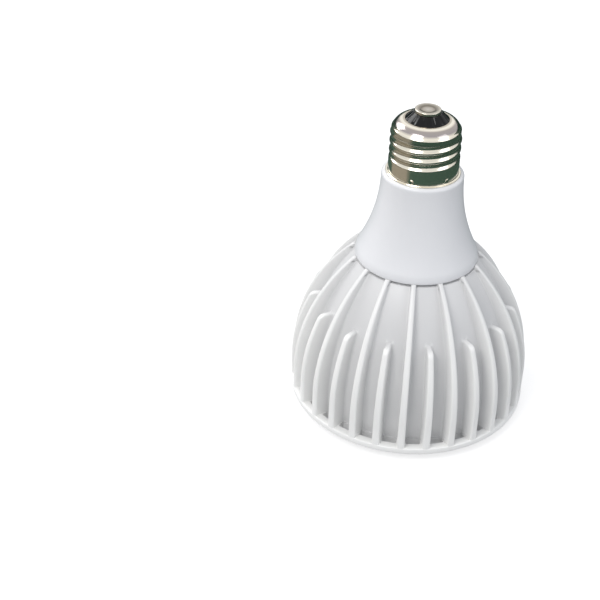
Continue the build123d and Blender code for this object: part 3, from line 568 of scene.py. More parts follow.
def rim_point(radius, column, flat):
    """A point of the rim seen from above, in a row that follows its circle or runs flat past the slot."""
    # Column 0 is the slot's middle, 1 either way its ends, 3 the segment's ends and 2 lies between
    half_slot = SLOT_LENGTH / 2
    if abs(column) < 2:
        y = column * half_slot
        return (radius if flat else math.sqrt(radius**2 - y**2)), y
    angle = QUARTER_PAIR
    if abs(column) == 2:
        angle = (math.asin(half_slot / radius) + QUARTER_PAIR) / 2
    return radius * math.cos(angle), math.copysign(radius * math.sin(angle), column)


def rim_loop():
    """Section of the rim as (radius, height, whether the row runs straight past the slot)."""
    top, bottom = RIM_PLANE + RIM_THICKNESS, RIM_PLANE
    inner = CORE_RADIUS - CORE_WALL / 2
    face = [(inner, False), (SLOT_INNER, True), (SLOT_OUTER, True), (RIM_BAND, False)]
    edge = [(RIM_RADIUS - RIM_EDGE + RIM_EDGE * math.sin(angle), RIM_EDGE * (1 - math.cos(angle)))
            for angle in evenly(0, math.pi / 2, RIM_EDGE_STEPS)]
    loop = [(radius, bottom, flat) for radius, flat in face]
    loop += [(radius, bottom + lift, False) for radius, lift in edge]
    loop += [(radius, top - lift, False) for radius, lift in reversed(edge)]
    return loop + [(radius, top, flat) for radius, flat in reversed(face)]


def rim_segment(vertices, faces, middle):
    """A thirtieth of the rim ring round one vent slot, whose middle is at the given angle."""
    columns = range(-3, 4)
    count = len(columns)
    loop = rim_loop()
    start = len(vertices)
    for radius, height, flat in loop:
        row = turned([rim_point(radius, column, flat) for column in columns], middle)
        vertices.extend((x, y, height) for x, y in row)
    inner_bottom, outer_bottom = 1, 2
    outer_top, inner_top = len(loop) - 3, len(loop) - 2
    slot_columns = (2, 3)

    def quad(lower, upper, column):
        return (start + lower * count + column, start + lower * count + column + 1,
                start + upper * count + column + 1, start + upper * count + column)

    for row in range(len(loop)):
        for column in range(count - 1):
            if not (row in (inner_bottom, outer_top) and column in slot_columns):
                faces.append(quad(row, (row + 1) % len(loop), column))
    for lower, upper in ((inner_bottom, inner_top), (outer_bottom, outer_top)):
        for column in slot_columns:
            faces.append(quad(lower, upper, column))
    for column in (slot_columns[0], slot_columns[-1] + 1):
        faces.append(tuple(start + row * count + column
                           for row in (inner_bottom, outer_bottom, outer_top, inner_top)))


def repeat_about_axis(piece, copies, material):
    """Geometry Nodes that turn copies of a piece about the axis and weld them into one mesh."""
    tree = bpy.data.node_groups.new("turned_copies", "GeometryNodeTree")
    tree.interface.new_socket("Geometry", in_out="INPUT", socket_type="NodeSocketGeometry")
    count_input = tree.interface.new_socket("Copies", in_out="INPUT", socket_type="NodeSocketInt")
    weld_input = tree.interface.new_socket("Weld gap", in_out="INPUT", socket_type="NodeSocketFloat")
    tree.interface.new_socket("Geometry", in_out="OUTPUT", socket_type="NodeSocketGeometry")
    nodes, links = tree.nodes, tree.links
    source = nodes.new("NodeGroupInput")
    result = nodes.new("NodeGroupOutput")
    points = nodes.new("GeometryNodePoints")
    index = nodes.new("GeometryNodeInputIndex")
    share = maths(tree, "DIVIDE", index.outputs[0], source.outputs["Copies"])
    turn = maths(tree, "MULTIPLY", share, 2 * math.pi)
    spin = nodes.new("ShaderNodeCombineXYZ")
    place = nodes.new("GeometryNodeInstanceOnPoints")
    real = nodes.new("GeometryNodeRealizeInstances")
    weld = nodes.new("GeometryNodeMergeByDistance")
    paint = nodes.new("GeometryNodeSetMaterial")
    paint.inputs["Material"].default_value = material
    links.new(source.outputs["Copies"], points.inputs["Count"])
    links.new(turn, spin.inputs["Z"])
    links.new(points.outputs[0], place.inputs["Points"])
    links.new(source.outputs["Geometry"], place.inputs["Instance"])
    links.new(spin.outputs[0], place.inputs["Rotation"])
    links.new(place.outputs[0], real.inputs[0])
    links.new(real.outputs[0], weld.inputs["Geometry"])
    links.new(source.outputs["Weld gap"], weld.inputs["Distance"])
    links.new(weld.outputs[0], paint.inputs["Geometry"])
    links.new(paint.outputs[0], result.inputs[0])
    modifier = piece.modifiers.new("copies", "NODES")
    modifier.node_group = tree
    modifier[count_input.identifier] = copies
    modifier[weld_input.identifier] = COPY_WELD_GAP
    depsgraph = bpy.context.evaluated_depsgraph_get()
    finished = bpy.data.meshes.new_from_object(piece.evaluated_get(depsgraph))
    piece.modifiers.remove(modifier)
    piece.data = finished


def make_heat_sink(material):
    """One pair of fins with its part of the rim, repeated round the axis."""
    rows = casting_rows()
    vertices = [point for row in rows for point in row]
    faces = grid_faces(len(rows), len(rows[0]), False)
    fin_head(vertices, faces)
    for side in (-1, 1):
        rim_segment(vertices, faces, side * QUARTER_PAIR)
    piece = new_piece("heat_sink_casting", vertices, faces)
    piece.data.materials.append(material)
    repeat_about_axis(piece, FIN_PAIRS, material)
    close_up(piece.data, CASTING_GAP)
    smooth(piece, angle=48)
    return piece


# Neck
def neck_radius(height):
    """Outside of the neck between its flare and its lip."""
    return NECK_TOP_RADIUS + NECK_SWEEP - math.sqrt(NECK_SWEEP**2 - (NECK_SWEEP_TOP - height)**2)


def make_driver_housing():
    """The flared neck in one piece with its tube, screw posts and board rails."""
    lift = NECK_FLARE_TOP - NECK_SEAT
    drop = NECK_RIM_RADIUS - neck_radius(NECK_FLARE_TOP)
    flare = (drop**2 + lift**2) / (2 * drop)
    turn = math.degrees(math.asin(lift / flare))
    rim = (NECK_RIM_RADIUS - RIM_EASE, NECK_SEAT + RIM_EASE)
    profile = [(TUBE_BORE, WEB_BACK), (TUBE_RADIUS, WEB_BACK), (TUBE_RADIUS, NECK_SEAT)]
    profile += circle_arc(rim, RIM_EASE, -90, 0, 2)
    profile += circle_arc((NECK_RIM_RADIUS - flare, NECK_SEAT), flare, turn / 4, turn, FLARE_STEPS)
    sweep = evenly(NECK_FLARE_TOP, NECK_SWEEP_TOP, NECK_STEPS)[1:]
    profile += [(neck_radius(level), level) for level in sweep]
    profile += circle_arc((LIP_FOOT, NECK_SWEEP_TOP), NECK_TOP_RADIUS - LIP_FOOT, 0, 90, LIP_STEPS)[1:]
    profile += [(SOCKET_RADIUS, NECK_TOP), (SOCKET_RADIUS, LEDGE), (SPIGOT_RADIUS, LEDGE),
                (SPIGOT_RADIUS, SPIGOT_TOP), (SPIGOT_BORE, SPIGOT_TOP), (SPIGOT_BORE, NECK_CEILING)]
    levels = evenly(NECK_CEILING, NECK_SEAT, ROOM_STEPS)
    inside = [(neck_radius(level) - NECK_WALL, level) for level in levels]
    room = [(radius, level) for radius, level in inside if radius < TUBE_BORE]
    profile += room + [(TUBE_BORE, room[-1][1] - NECK_ROOM_EASE)]
    piece = lathe("driver_housing_neck", profile, WIDE_SEGMENTS)
    posts = [tube_block(0.0, side * POST_OFFSET, POST_RADIUS, HOUSING_SCREW_HOLE, WEB_BACK,
                        WEB_BACK + POST_HEIGHT) for side in (-1, 1)]
    rails = [box_block((side * (DRIVER_FOOT_HALF + RAIL_REACH / 2), edge * RAIL_OFFSET,
                        WEB_BACK + RAIL_FOOT + RAIL_HEIGHT / 2), (RAIL_REACH, RAIL_CHEEK, RAIL_HEIGHT))
             for side in (-1, 1) for edge in (-1, 1)]
    return joined(piece, posts + rails)


# Screw base
def shell_radius(height, angle):
    """Outside of the rolled shell below its dome."""
    from_crest = angle - THREAD_PHASE - 2 * math.pi * (height - THREAD_BOTTOM) / THREAD_PITCH
    wave = THREAD_WAVE * (math.cos(from_crest) + THREAD_NARROWING * math.cos(2 * from_crest))
    radius = THREAD_MEAN + wave * (1 - step_up(height - DOME_FOOT, *THREAD_END))
    radius = THREAD_CREST + (radius - THREAD_CREST) * step_up(height - THREAD_BOTTOM, *THREAD_START)
    for punch in range(PUNCH_COUNT):
        middle = PUNCH_PHASE + 2 * math.pi * punch / PUNCH_COUNT
        away = (angle - middle + math.pi) % (2 * math.pi) - math.pi
        reach = math.hypot(away * THREAD_CREST, height - PUNCH_HEIGHT)
        if reach < PUNCH_RADIUS:
            radius -= PUNCH_DEPTH * (0.5 + 0.5 * math.cos(math.pi * reach / PUNCH_RADIUS))
    return radius


def shoulder_turn(height):
    """The shallow last roll of the thread round the foot of the dome."""
    away = (height - SHOULDER_ROLL) / (THREAD_PITCH / 4)
    return SHOULDER_ROLL_RISE * (0.5 + 0.5 * math.cos(math.pi * away)) if abs(away) < 1 else 0.0


def shell_foot():
    """The shell's lower edge, rolled out into a bead that rests on the neck."""
    bead_round = BEAD_THICKNESS / 2
    bead = circle_arc((THREAD_CREST + BEAD_REACH - bead_round, NECK_TOP + bead_round), bead_round, -90, 90,
                      BEAD_STEPS)
    return ([(THREAD_CREST, LEDGE), (THREAD_CREST, NECK_TOP)] + bead
            + [(THREAD_CREST + BEAD_FILLET, BEAD_TOP), (THREAD_CREST, BEAD_TOP + BEAD_FILLET)])


def shell_dome():
    """The rounded end, with the thread's last roll round its foot."""
    middle = (THREAD_MEAN - DOME_ROUND, DOME_FOOT)
    arc = circle_arc(middle, DOME_ROUND, *DOME_SPREAD, DOME_STEPS)
    arc = [(radius + shoulder_turn(height), height) for radius, height in arc]
    thread_top = DOME_FOOT + THREAD_END[1]
    return [point for point in arc if point[1] > thread_top + DOME_GAP] + [(SHELL_END_RADIUS, SHELL_END)]


def shell_bore():
    """Inside of the shell, from its end down to its foot."""
    middle = (THREAD_MEAN - DOME_ROUND, DOME_FOOT)
    arc = circle_arc(middle, DOME_ROUND - SHELL_WALL, DOME_SPREAD[1], 0, DOME_BORE_STEPS)
    bore = [(SHELL_END_RADIUS, SHELL_END - SHELL_WALL)] + [point for point in arc if point[0] < SHELL_BORE]
    return bore + [(SHELL_BORE, bore[-1][1]), (SHELL_BORE, THREAD_BOTTOM),
                   (SKIRT_BORE, THREAD_BOTTOM - SKIRT_BORE_DRAW), (SKIRT_BORE, LEDGE)]


def make_screw_shell():
    """The rolled shell: bead, punched skirt, thread and dome outside, and a plain bore."""
    levels = evenly(BEAD_TOP + THREAD_GAP, THREAD_BOTTOM, SKIRT_STEPS)
    levels += evenly(THREAD_BOTTOM, DOME_FOOT + THREAD_END[1], THREAD_STEPS)[1:]
    rings = [[point] * SHELL_SEGMENTS for point in shell_foot()]
    for level in levels:
        rings.append([(shell_radius(level, 2 * math.pi * segment / SHELL_SEGMENTS), level)
                      for segment in range(SHELL_SEGMENTS)])
    rings += [[point] * SHELL_SEGMENTS for point in shell_dome() + shell_bore()]
    return ringed_piece("screw_shell_thread", rings, angle=50)


def rib_inset(height, angle):
    """Depth of the grooves between the insulator's ribs."""
    groove = max(0.0, -math.cos(RIB_COUNT * angle))**RIB_SHARPNESS
    return RIB_DEPTH * groove * step_up(height, SHELL_END, SHELL_END + RIB_FADE)


def make_insulator():
    """The ribbed black cone between the shell's end and the contact."""
    cone_foot = SHELL_END_RADIUS - INSULATOR_FIT
    plain = [(RIVET_HOLE, FLANGE_FOOT), (FLANGE_RADIUS, FLANGE_FOOT), (FLANGE_RADIUS, FLANGE_TOP),
             (cone_foot, FLANGE_TOP), (cone_foot, SHELL_END)]
    rings = [[point] * SHELL_SEGMENTS for point in plain]
    slope = zip(evenly(cone_foot, INSULATOR_TOP_RADIUS, CONE_STEPS),
                evenly(SHELL_END, INSULATOR_TOP, CONE_STEPS))
    for radius, height in list(slope)[1:]:
        rings.append([(radius - rib_inset(height, 2 * math.pi * segment / SHELL_SEGMENTS), height)
                      for segment in range(SHELL_SEGMENTS)])
    rings.append([(RIVET_HOLE, INSULATOR_TOP)] * SHELL_SEGMENTS)
    return ringed_piece("insulator_cone", rings)


def make_centre_contact():
    """The dished button with the rivet that holds it in the insulator."""
    edge = CONTACT_RADIUS - CONTACT_EASE
    profile = [(0.0, RIVET_FOOT), (RIVET_HEAD_RADIUS, RIVET_FOOT), (RIVET_HEAD_RADIUS, FLANGE_FOOT),
               (RIVET_RADIUS, FLANGE_FOOT), (RIVET_RADIUS, INSULATOR_TOP),
               (CONTACT_RADIUS - CONTACT_FOOT_EASE, INSULATOR_TOP),
               (CONTACT_RADIUS, INSULATOR_TOP + CONTACT_FOOT_EASE)]
    profile += circle_arc((edge, CONTACT_TOP - CONTACT_EASE), CONTACT_EASE, 0, 90, CONTACT_EDGE_STEPS)
    for step in range(1, CONTACT_DISH_STEPS + 1):
        radius = edge * (1 - step / CONTACT_DISH_STEPS)
        drop = DISH_DROP * (1 - step_up(radius, DISH_FLAT, DISH_RISE))
        profile.append((radius, CONTACT_TOP - drop))
    return lathe("centre_contact_button", profile, CONTACT_SEGMENTS)


# Front
def make_front_bezel():
    """The white ring round the lens, with a skirt that goes into the casting."""
    skirt_bore = BEZEL_SKIRT_RADIUS - BEZEL_SKIRT
    profile = [(BEZEL_BORE, LEDGE_FRONT), (BEZEL_BORE, BEZEL_BORE_EASE), (BEZEL_BORE + BEZEL_BORE_EASE, 0.0)]
    profile += circle_arc((BEZEL_RADIUS - BEZEL_ROUND, BEZEL_ROUND), BEZEL_ROUND, -90, 0, BEZEL_ROUND_STEPS)
    profile += [(BEZEL_RADIUS, RIM_PLANE - BEZEL_BACK_EASE), (BEZEL_RADIUS - BEZEL_BACK_EASE, RIM_PLANE),
                (BEZEL_SKIRT_RADIUS, RIM_PLANE), (BEZEL_SKIRT_RADIUS, BEZEL_DEPTH - BEZEL_END_EASE),
                (BEZEL_SKIRT_RADIUS - BEZEL_END_EASE, BEZEL_DEPTH), (skirt_bore, BEZEL_DEPTH),
                (skirt_bore, LEDGE_BACK), (LEDGE_RADIUS, LEDGE_BACK), (LEDGE_RADIUS, LEDGE_FRONT)]
    return lathe("front_bezel_ring", profile, WIDE_SEGMENTS)


def dish_height(radius):
    """Face of the lens between the facets, a shallow bowl."""
    share = (DISH_RADIUS - radius) / (DISH_RADIUS - DISH_EDGE)
    return LENS_FACE + (DISH_FLOOR - LENS_FACE) * share + 4 * DISH_SAG * share * (1 - share)


def lens_back():
    """Section of the lens from its back to the edge of the bowl."""
    return [(DISH_EDGE / 2, LENS_BACK), (DISH_EDGE, LENS_BACK), (LENS_BACK_RADIUS, LEDGE_BACK),
            (LENS_BACK_RADIUS, LEDGE_FRONT), (LENS_FLANGE_RADIUS, LEDGE_FRONT),
            (LENS_FLANGE_RADIUS, LENS_FACE + LENS_FLANGE_EASE),
            (LENS_FLANGE_RADIUS - LENS_FLANGE_EASE, LENS_FACE), (DISH_RADIUS, LENS_FACE)]


def lens_rings():
    """Section of the two raised rings and the domed middle."""
    outer_top = DISH_FLOOR - RING_HEIGHT + RING_EASE
    profile = [(OUTER_RING, DISH_FLOOR), (OUTER_RING, outer_top)]
    profile += circle_arc((OUTER_RING - RING_WIDTH / 2, outer_top), RING_WIDTH / 2, *RING_SPREAD, RING_STEPS)
    profile += [(OUTER_RING - RING_WIDTH, outer_top), (OUTER_RING - 2 * RING_WIDTH, DISH_FLOOR),
                (INNER_RING, DISH_FLOOR), (INNER_RING - RING_WIDTH, DISH_FLOOR - RING_HEIGHT),
                (DOME_RADIUS, DISH_FLOOR)]
    sphere = (DOME_RADIUS**2 + DOME_HEIGHT**2) / (2 * DOME_HEIGHT)
    for step in range(1, LENS_DOME_STEPS):
        radius = DOME_RADIUS * (1 - step / LENS_DOME_STEPS)
        fall = sphere - math.sqrt(sphere**2 - radius**2)
        profile.append((radius, DISH_FLOOR - DOME_HEIGHT + fall))
    return profile


def make_front_lens():
    """The moulded lens: brick-shaped facets round two raised rings and a domed middle."""
    columns = 2 * FACET_COLUMNS
    vertices, faces = [], []

    def ring(radius, height):
        start = len(vertices)
        for column in range(columns):
            angle = math.pi * column / FACET_COLUMNS
            vertices.append((radius * math.cos(angle), radius * math.sin(angle), height))
        return start

    def band(lower, upper):
        for column in range(columns):
            right = (column + 1) % columns
            faces.append((lower + column, lower + right, upper + right, upper + column))

    def hub(height):
        vertices.append((0.0, 0.0, height))
        return len(vertices) - 1

    def facet_row(below, row):
        width = (DISH_RADIUS - DISH_EDGE) / FACET_ROWS
        radius = DISH_RADIUS - width * (row + 1)
        above = ring(radius, dish_height(radius))
        middle = radius + width / 2
        for facet in range(FACET_COLUMNS):
            first = (2 * facet + row % 2) % columns
            half, last = (first + 1) % columns, (first + 2) % columns
            angle = math.pi * (first + 1) / FACET_COLUMNS
            vertices.append((middle * math.cos(angle), middle * math.sin(angle),
                             dish_height(middle) - FACET_CROWN))
            crown = len(vertices) - 1
            outline = [below + first, below + half, below + last, above + last, above + half, above + first]
            faces.extend((near, far, crown) for near, far in zip(outline, outline[1:] + outline[:1]))
        return above

    rings = [ring(radius, height) for radius, height in lens_back()]
    for lower, upper in zip(rings, rings[1:]):
        band(lower, upper)
    back = hub(LENS_BACK)
    faces.extend((back, rings[0] + (column + 1) % columns, rings[0] + column) for column in range(columns))
    edge = rings[-1]
    for row in range(FACET_ROWS):
        edge = facet_row(edge, row)
    for radius, height in lens_rings():
        above = ring(radius, height)
        band(edge, above)
        edge = above
    front = hub(DISH_FLOOR - DOME_HEIGHT)
    faces.extend((edge + column, edge + (column + 1) % columns, front) for column in range(columns))
    piece = new_piece("front_lens_facets", vertices, faces)
    close_up(piece.data)
    smooth(piece, angle=12)
    return piece


def make_reflector_cup():
    """A bright bowl whose inside is pressed in flat steps."""
    across, along = LEDGE_RADIUS - CUP_THROAT, CUP_END - LEDGE_BACK
    chord = math.hypot(across, along)
    inside, outside = [], []
    for step in range(CUP_STEPS + 1):
        share = step / CUP_STEPS
        bulge = 4 * CUP_SAG * share * (1 - share)
        radius = LEDGE_RADIUS - across * share + bulge * along / chord
        height = LEDGE_BACK + along * share + bulge * across / chord
        lean = min(1.0, 4 * share)
        inside.append((radius, height))
        outside.append((radius + CUP_WALL * (0.5 + 0.5 * lean),
                        min(CUP_END, height + CUP_WALL * (1 - lean))))
    profile = inside + list(reversed(outside))
    profile += [(CUP_FLANGE, LEDGE_BACK + CUP_WALL), (CUP_FLANGE, LEDGE_BACK)]
    return lathe("reflector_cup_bowl", profile, CUP_SEGMENTS)


# Finishes
def coat(name, colour, roughness, metallic=0.0, grain=0.0, grain_size=1.0, tint=0.04, gloss=0.5):
    """A finish with a fine grain and a slight unevenness of its colour, both fixed to the object."""
    material = bpy.data.materials.new(name)
    material.use_nodes = True
    nodes, links = material.node_tree.nodes, material.node_tree.links
    surface = nodes["Principled BSDF"]
    surface.inputs["Metallic"].default_value = metallic
    surface.inputs["Roughness"].default_value = roughness
    surface.inputs["Specular IOR Level"].default_value = gloss
    place = nodes.new("ShaderNodeTexCoord")
    mottle = nodes.new("ShaderNodeTexNoise")
    mottle.inputs["Scale"].default_value = 1 / (MOTTLE_SIZE * MM)
    mottle.inputs["Detail"].default_value = 3.0
    links.new(place.outputs["Object"], mottle.inputs["Vector"])
    darker = tuple(value * (1 - tint) for value in colour)
    shade = colour_ramp(material.node_tree, [(0.3, darker), (0.7, colour)])
    links.new(mottle.outputs["Fac"], shade.inputs["Fac"])
    links.new(shade.outputs["Color"], surface.inputs["Base Color"])
    if grain:
        speck = nodes.new("ShaderNodeTexNoise")
        speck.inputs["Scale"].default_value = 1 / (grain_size * MM)
        speck.inputs["Detail"].default_value = 4.0
        links.new(place.outputs["Object"], speck.inputs["Vector"])
        relief = nodes.new("ShaderNodeBump")
        relief.inputs["Strength"].default_value = grain
        relief.inputs["Distance"].default_value = GRAIN_DEPTH * MM
        links.new(speck.outputs["Fac"], relief.inputs["Height"])
        links.new(relief.outputs["Normal"], surface.inputs["Normal"])
    return material


def distance_and_height(tree):
    """Distance of a point from the lamp's axis, and its height, both in metres."""
    place = tree.nodes.new("ShaderNodeTexCoord")
    split = tree.nodes.new("ShaderNodeSeparateXYZ")
    tree.links.new(place.outputs["Object"], split.inputs["Vector"])
    return flat_length(tree, split.outputs["X"], split.outputs["Y"]), split.outputs["Z"]


def colour_by(tree, value, start, end, stops):
    """Colours a finish by a value in metres, at stops between start and end, in millimetres."""
    span = tree.nodes.new("ShaderNodeMapRange")
    span.inputs["From Min"].default_value = start * MM
    span.inputs["From Max"].default_value = end * MM
    ramp = colour_ramp(tree, [((at - start) / (end - start), colour) for at, colour in stops])
    tree.links.new(value, span.inputs["Value"])
    tree.links.new(span.outputs["Result"], ramp.inputs["Fac"])
    tree.links.new(ramp.outputs["Color"], tree.nodes["Principled BSDF"].inputs["Base Color"])


def banded(name, start, end, stops, roughness, metallic=0.0):
    """A finish whose colour changes with the distance from the axis, at stops given in millimetres."""
    material = coat(name, stops[0][1], roughness, metallic)
    tree = material.node_tree
    colour_by(tree, distance_and_height(tree)[0], start, end, stops)
    return material


def powder_coat_painted_shade():
    """White powder coat with painted shade: greyer on the core between the fins, whiter at the fins' edges.
    """
    material = coat("powder_coat_painted_shade", (0.86, 0.86, 0.85), 0.36, grain=0.2, grain_size=0.5)
    tree = material.node_tree
    from_axis, height = distance_and_height(tree)
    across = maths(tree, "ADD", from_axis, (CORE_ARC - CORE_RADIUS) * MM)
    above = maths(tree, "MAXIMUM", maths(tree, "SUBTRACT", height, SHOULDER * MM), 0.0)
    shade_end = CORE_ARC + PAINTED_SHADE_REACH
    # Painted shade between the fins: grey on the core, white at the fins' edges.
    colour_by(tree, flat_length(tree, across, above), CORE_ARC, shade_end,
              [(CORE_ARC, (0.67, 0.67, 0.67)), (shade_end, (0.9, 0.9, 0.88))])
    return material


def rolled_nickel_painted_light():
    """Bright plate with painted light: painted shade on the thread's flanks between root and crest, and
    painted reflections in rings on the rounded end.
    """
    bright, painted_flank_shade, grey = (0.84, 0.79, 0.68), (0.7, 0.67, 0.58), (0.36, 0.33, 0.33)
    # Painted reflections: bright and grey rings on the rounded end out to 11.6 mm; painted shade on the
    # thread's flanks.
    return banded("rolled_nickel_painted_light", SHELL_END_RADIUS, THREAD_CREST,
                  [(SHELL_END_RADIUS, (0.5, 0.45, 0.38)), (8.6, (0.55, 0.5, 0.42)), (9.1, (0.9, 0.86, 0.76)),
                   (9.7, (0.86, 0.8, 0.7)), (10.3, (0.4, 0.36, 0.34)), (11.6, grey),
                   (THREAD_ROOT - 0.15, bright), (THREAD_MEAN, painted_flank_shade), (THREAD_CREST, bright)], 0.16, 1.0)


def contact_plate_painted_shade():
    """Nickel plate with painted shade, darker where the button's dish rises to its edge."""
    return banded("contact_plate_painted_shade", 0.0, CONTACT_RADIUS,
                  [(0.0, (0.6, 0.57, 0.52)), (DISH_FLAT - 0.3, (0.42, 0.38, 0.33)),
                   (DISH_FLAT + 0.5, (0.2, 0.18, 0.15)), (DISH_RISE, (0.4, 0.37, 0.32)),
                   (CONTACT_RADIUS - 0.5, (0.62, 0.58, 0.51))], 0.28, 1.0)


def lens_middle_painted_light():
    """Dome and rings of the clear lens, made opaque, with the warm light source behind them painted on as
    warm rings, and silver and pale painted reflection bands.
    """
    warm, deep, pale, silver = (1.0, 0.6, 0.2), (0.92, 0.42, 0.08), (0.78, 0.78, 0.83), (0.6, 0.61, 0.66)
    # Painted light by distance from the axis: a warm image of the source, with silver and pale painted
    # reflections.
    material = banded("lens_middle_painted_light", 0.0, DISH_EDGE,
                      [(0.0, (1.0, 0.5, 0.1)), (8.2, warm), (9.4, (1.0, 0.82, 0.55)), (10.0, silver),
                       (10.6, silver), (11.0, deep), (13.1, warm), (13.8, pale), (16.1, pale), (16.7, warm),
                       (17.7, deep), (18.2, silver), (DISH_EDGE, pale)], 0.12)
    surface = material.node_tree.nodes["Principled BSDF"]
    surface.inputs["Coat Weight"].default_value = 1.0
    surface.inputs["Coat Roughness"].default_value = 0.03
    return material


def finish_lens(piece):
    """Gives the flat flange its own finish, and paints light on the silvered facets by their slope: a
    painted highlight on the outward slopes, painted shade on the ones leaning in, a middle tone on the rest.
    """
    flange = coat("pale_flange", (0.8, 0.81, 0.83), 0.25, tint=0.02)
    level = coat("facet_sides_middle_tone", (0.66, 0.64, 0.69), 0.14, 1.0, tint=0.2)
    outward = coat("facet_outer_slopes_painted_highlight", (0.88, 0.86, 0.89), 0.1, 1.0, tint=0.1)
    inward = coat("facet_inner_slopes_painted_shade", (0.4, 0.39, 0.45), 0.18, 1.0, tint=0.3)
    for material in (flange, level, outward, inward):
        piece.data.materials.append(material)
    places = {material.name: index for index, material in enumerate(piece.data.materials)}
    for face in piece.data.polygons:
        middle = face.center.xy
        distance = middle.length / MM
        lean = middle.normalized().dot(face.normal.xy) - FACET_LEAN
        if distance > DISH_RADIUS:
            face.material_index = places[flange.name]
        elif distance > DISH_EDGE:
            # Painted light: outward slopes take the painted highlight, those leaning in take the painted
            # shade.
            slope = outward if lean > FACET_LEAN_MARGIN else inward if lean < -FACET_LEAN_MARGIN else level
            face.material_index = places[slope.name]


def dress(piece, node, material):
    """Gives a finished piece its material and puts it in the place of the solid it stands for."""
    piece.data.materials.clear()
    piece.data.materials.append(material)
    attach(piece, "root")
    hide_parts(node)


WHITE_PAINT = powder_coat_painted_shade()
WHITE_PLASTIC = coat("white_polycarbonate", (0.77, 0.775, 0.79), 0.3,
                     grain=0.05, grain_size=2.0, tint=0.02)

dress(make_heat_sink(WHITE_PAINT), "heat_sink", WHITE_PAINT)
dress(make_driver_housing(), "driver_housing", WHITE_PLASTIC)
dress(make_screw_shell(), "screw_shell", rolled_nickel_painted_light())
dress(make_insulator(), "insulator",
      coat("black_glass", (0.004, 0.004, 0.005), 0.08, tint=0.1, gloss=0.22))
dress(make_centre_contact(), "centre_contact", contact_plate_painted_shade())
dress(make_front_bezel(), "front_bezel", WHITE_PLASTIC)
front_lens = make_front_lens()
dress(front_lens, "front_lens", lens_middle_painted_light())
finish_lens(front_lens)
dress(make_reflector_cup(), "reflector_cup",
      coat("metallised_plastic", (0.88, 0.88, 0.89), 0.12, 1.0, tint=0.02))

# Solids that stay as they are in the CAD model, each with its own finish
INNER_FINISHES = {
    "source_board": coat("white_ceramic", (0.85, 0.85, 0.82), 0.4, grain=0.1),
    "phosphor": coat("phosphor_silicone", (0.95, 0.55, 0.12), 0.5, grain=0.2, grain_size=0.6, tint=0.08),
    "thermal_pad": coat("thermal_grease", (0.55, 0.55, 0.55), 0.7, grain=0.3),
    "board_screws": coat("zinc_plate", (0.6, 0.6, 0.6), 0.3, 1.0, grain=0.1),
    "housing_screws": coat("zinc_plate_dull", (0.55, 0.55, 0.55), 0.4, 1.0, grain=0.1),
    "driver_board": coat("green_laminate", (0.03, 0.22, 0.08), 0.4, grain=0.2, grain_size=1.5, tint=0.15),
    "transformer_core": coat("ferrite", (0.06, 0.06, 0.065), 0.6, grain=0.4, grain_size=0.3, tint=0.2),
    "transformer_winding": coat("winding_tape", (0.85, 0.65, 0.08), 0.35, grain=0.2, tint=0.1),
    "input_capacitor": coat("dark_sleeve", (0.02, 0.025, 0.05), 0.25, grain=0.1),
    "output_capacitor": coat("green_sleeve", (0.03, 0.05, 0.04), 0.25, grain=0.1),
    "choke": coat("choke_ferrite", (0.08, 0.08, 0.085), 0.55, grain=0.4, grain_size=0.3, tint=0.2),
    "film_capacitor": coat("dipped_case", (0.42, 0.05, 0.03), 0.25, grain=0.15, tint=0.1),
    "driver_chip": coat("chip_moulding", (0.02, 0.02, 0.02), 0.55, grain=0.3, grain_size=0.2),
    "bridge_rectifier": coat("rectifier_moulding", (0.025, 0.025, 0.025), 0.5, grain=0.3, grain_size=0.2),
    "fuse_resistor": coat("lacquered_body", (0.18, 0.38, 0.28), 0.3, grain=0.15, tint=0.1),
    "source_lead_positive": coat("red_insulation", (0.5, 0.02, 0.02), 0.4, grain=0.1),
    "source_lead_negative": coat("black_insulation", (0.02, 0.02, 0.02), 0.4, grain=0.1),
    "live_lead": coat("red_insulation_live", (0.45, 0.02, 0.02), 0.4, grain=0.1),
    "neutral_lead": coat("black_insulation_neutral", (0.025, 0.025, 0.025), 0.4, grain=0.1),
}
for node_name, finish in INNER_FINISHES.items():
    node_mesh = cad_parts[node_name].data
    node_mesh.materials.clear()
    node_mesh.materials.append(finish)


# Studio
def shown_white(tree):
    """1 for the rays that show the background: seen directly, in a reflection or through glass."""
    path = tree.nodes.new("ShaderNodeLightPath")
    seen = maths(tree, "MAXIMUM", path.outputs["Is Camera Ray"], path.outputs["Is Glossy Ray"])
    return maths(tree, "MAXIMUM", seen, path.outputs["Is Transmission Ray"])


def make_floor():
    """A pale grey table that shows as white and keeps the lamp's shadow."""
    floor = new_piece("floor", [(-FLOOR_HALF, -FLOOR_HALF, 0), (FLOOR_HALF, -FLOOR_HALF, 0),
                                (FLOOR_HALF, FLOOR_HALF, 0), (-FLOOR_HALF, FLOOR_HALF, 0)], [(0, 1, 2, 3)])
    material = bpy.data.materials.new("white_table")
    material.use_nodes = True
    nodes, links = material.node_tree.nodes, material.node_tree.links
    nodes.remove(nodes["Principled BSDF"])
    matt = nodes.new("ShaderNodeBsdfDiffuse")
    matt.inputs["Color"].default_value = (0.48, 0.48, 0.48, 1.0)
    glow = nodes.new("ShaderNodeEmission")
    links.new(shown_white(material.node_tree), glow.inputs["Strength"])
    glow.inputs["Color"].default_value = (0.66, 0.66, 0.66, 1.0)
    both = nodes.new("ShaderNodeAddShader")
    links.new(matt.outputs[0], both.inputs[0])
    links.new(glow.outputs[0], both.inputs[1])
    links.new(both.outputs[0], nodes["Material Output"].inputs["Surface"])
    floor.data.materials.append(material)


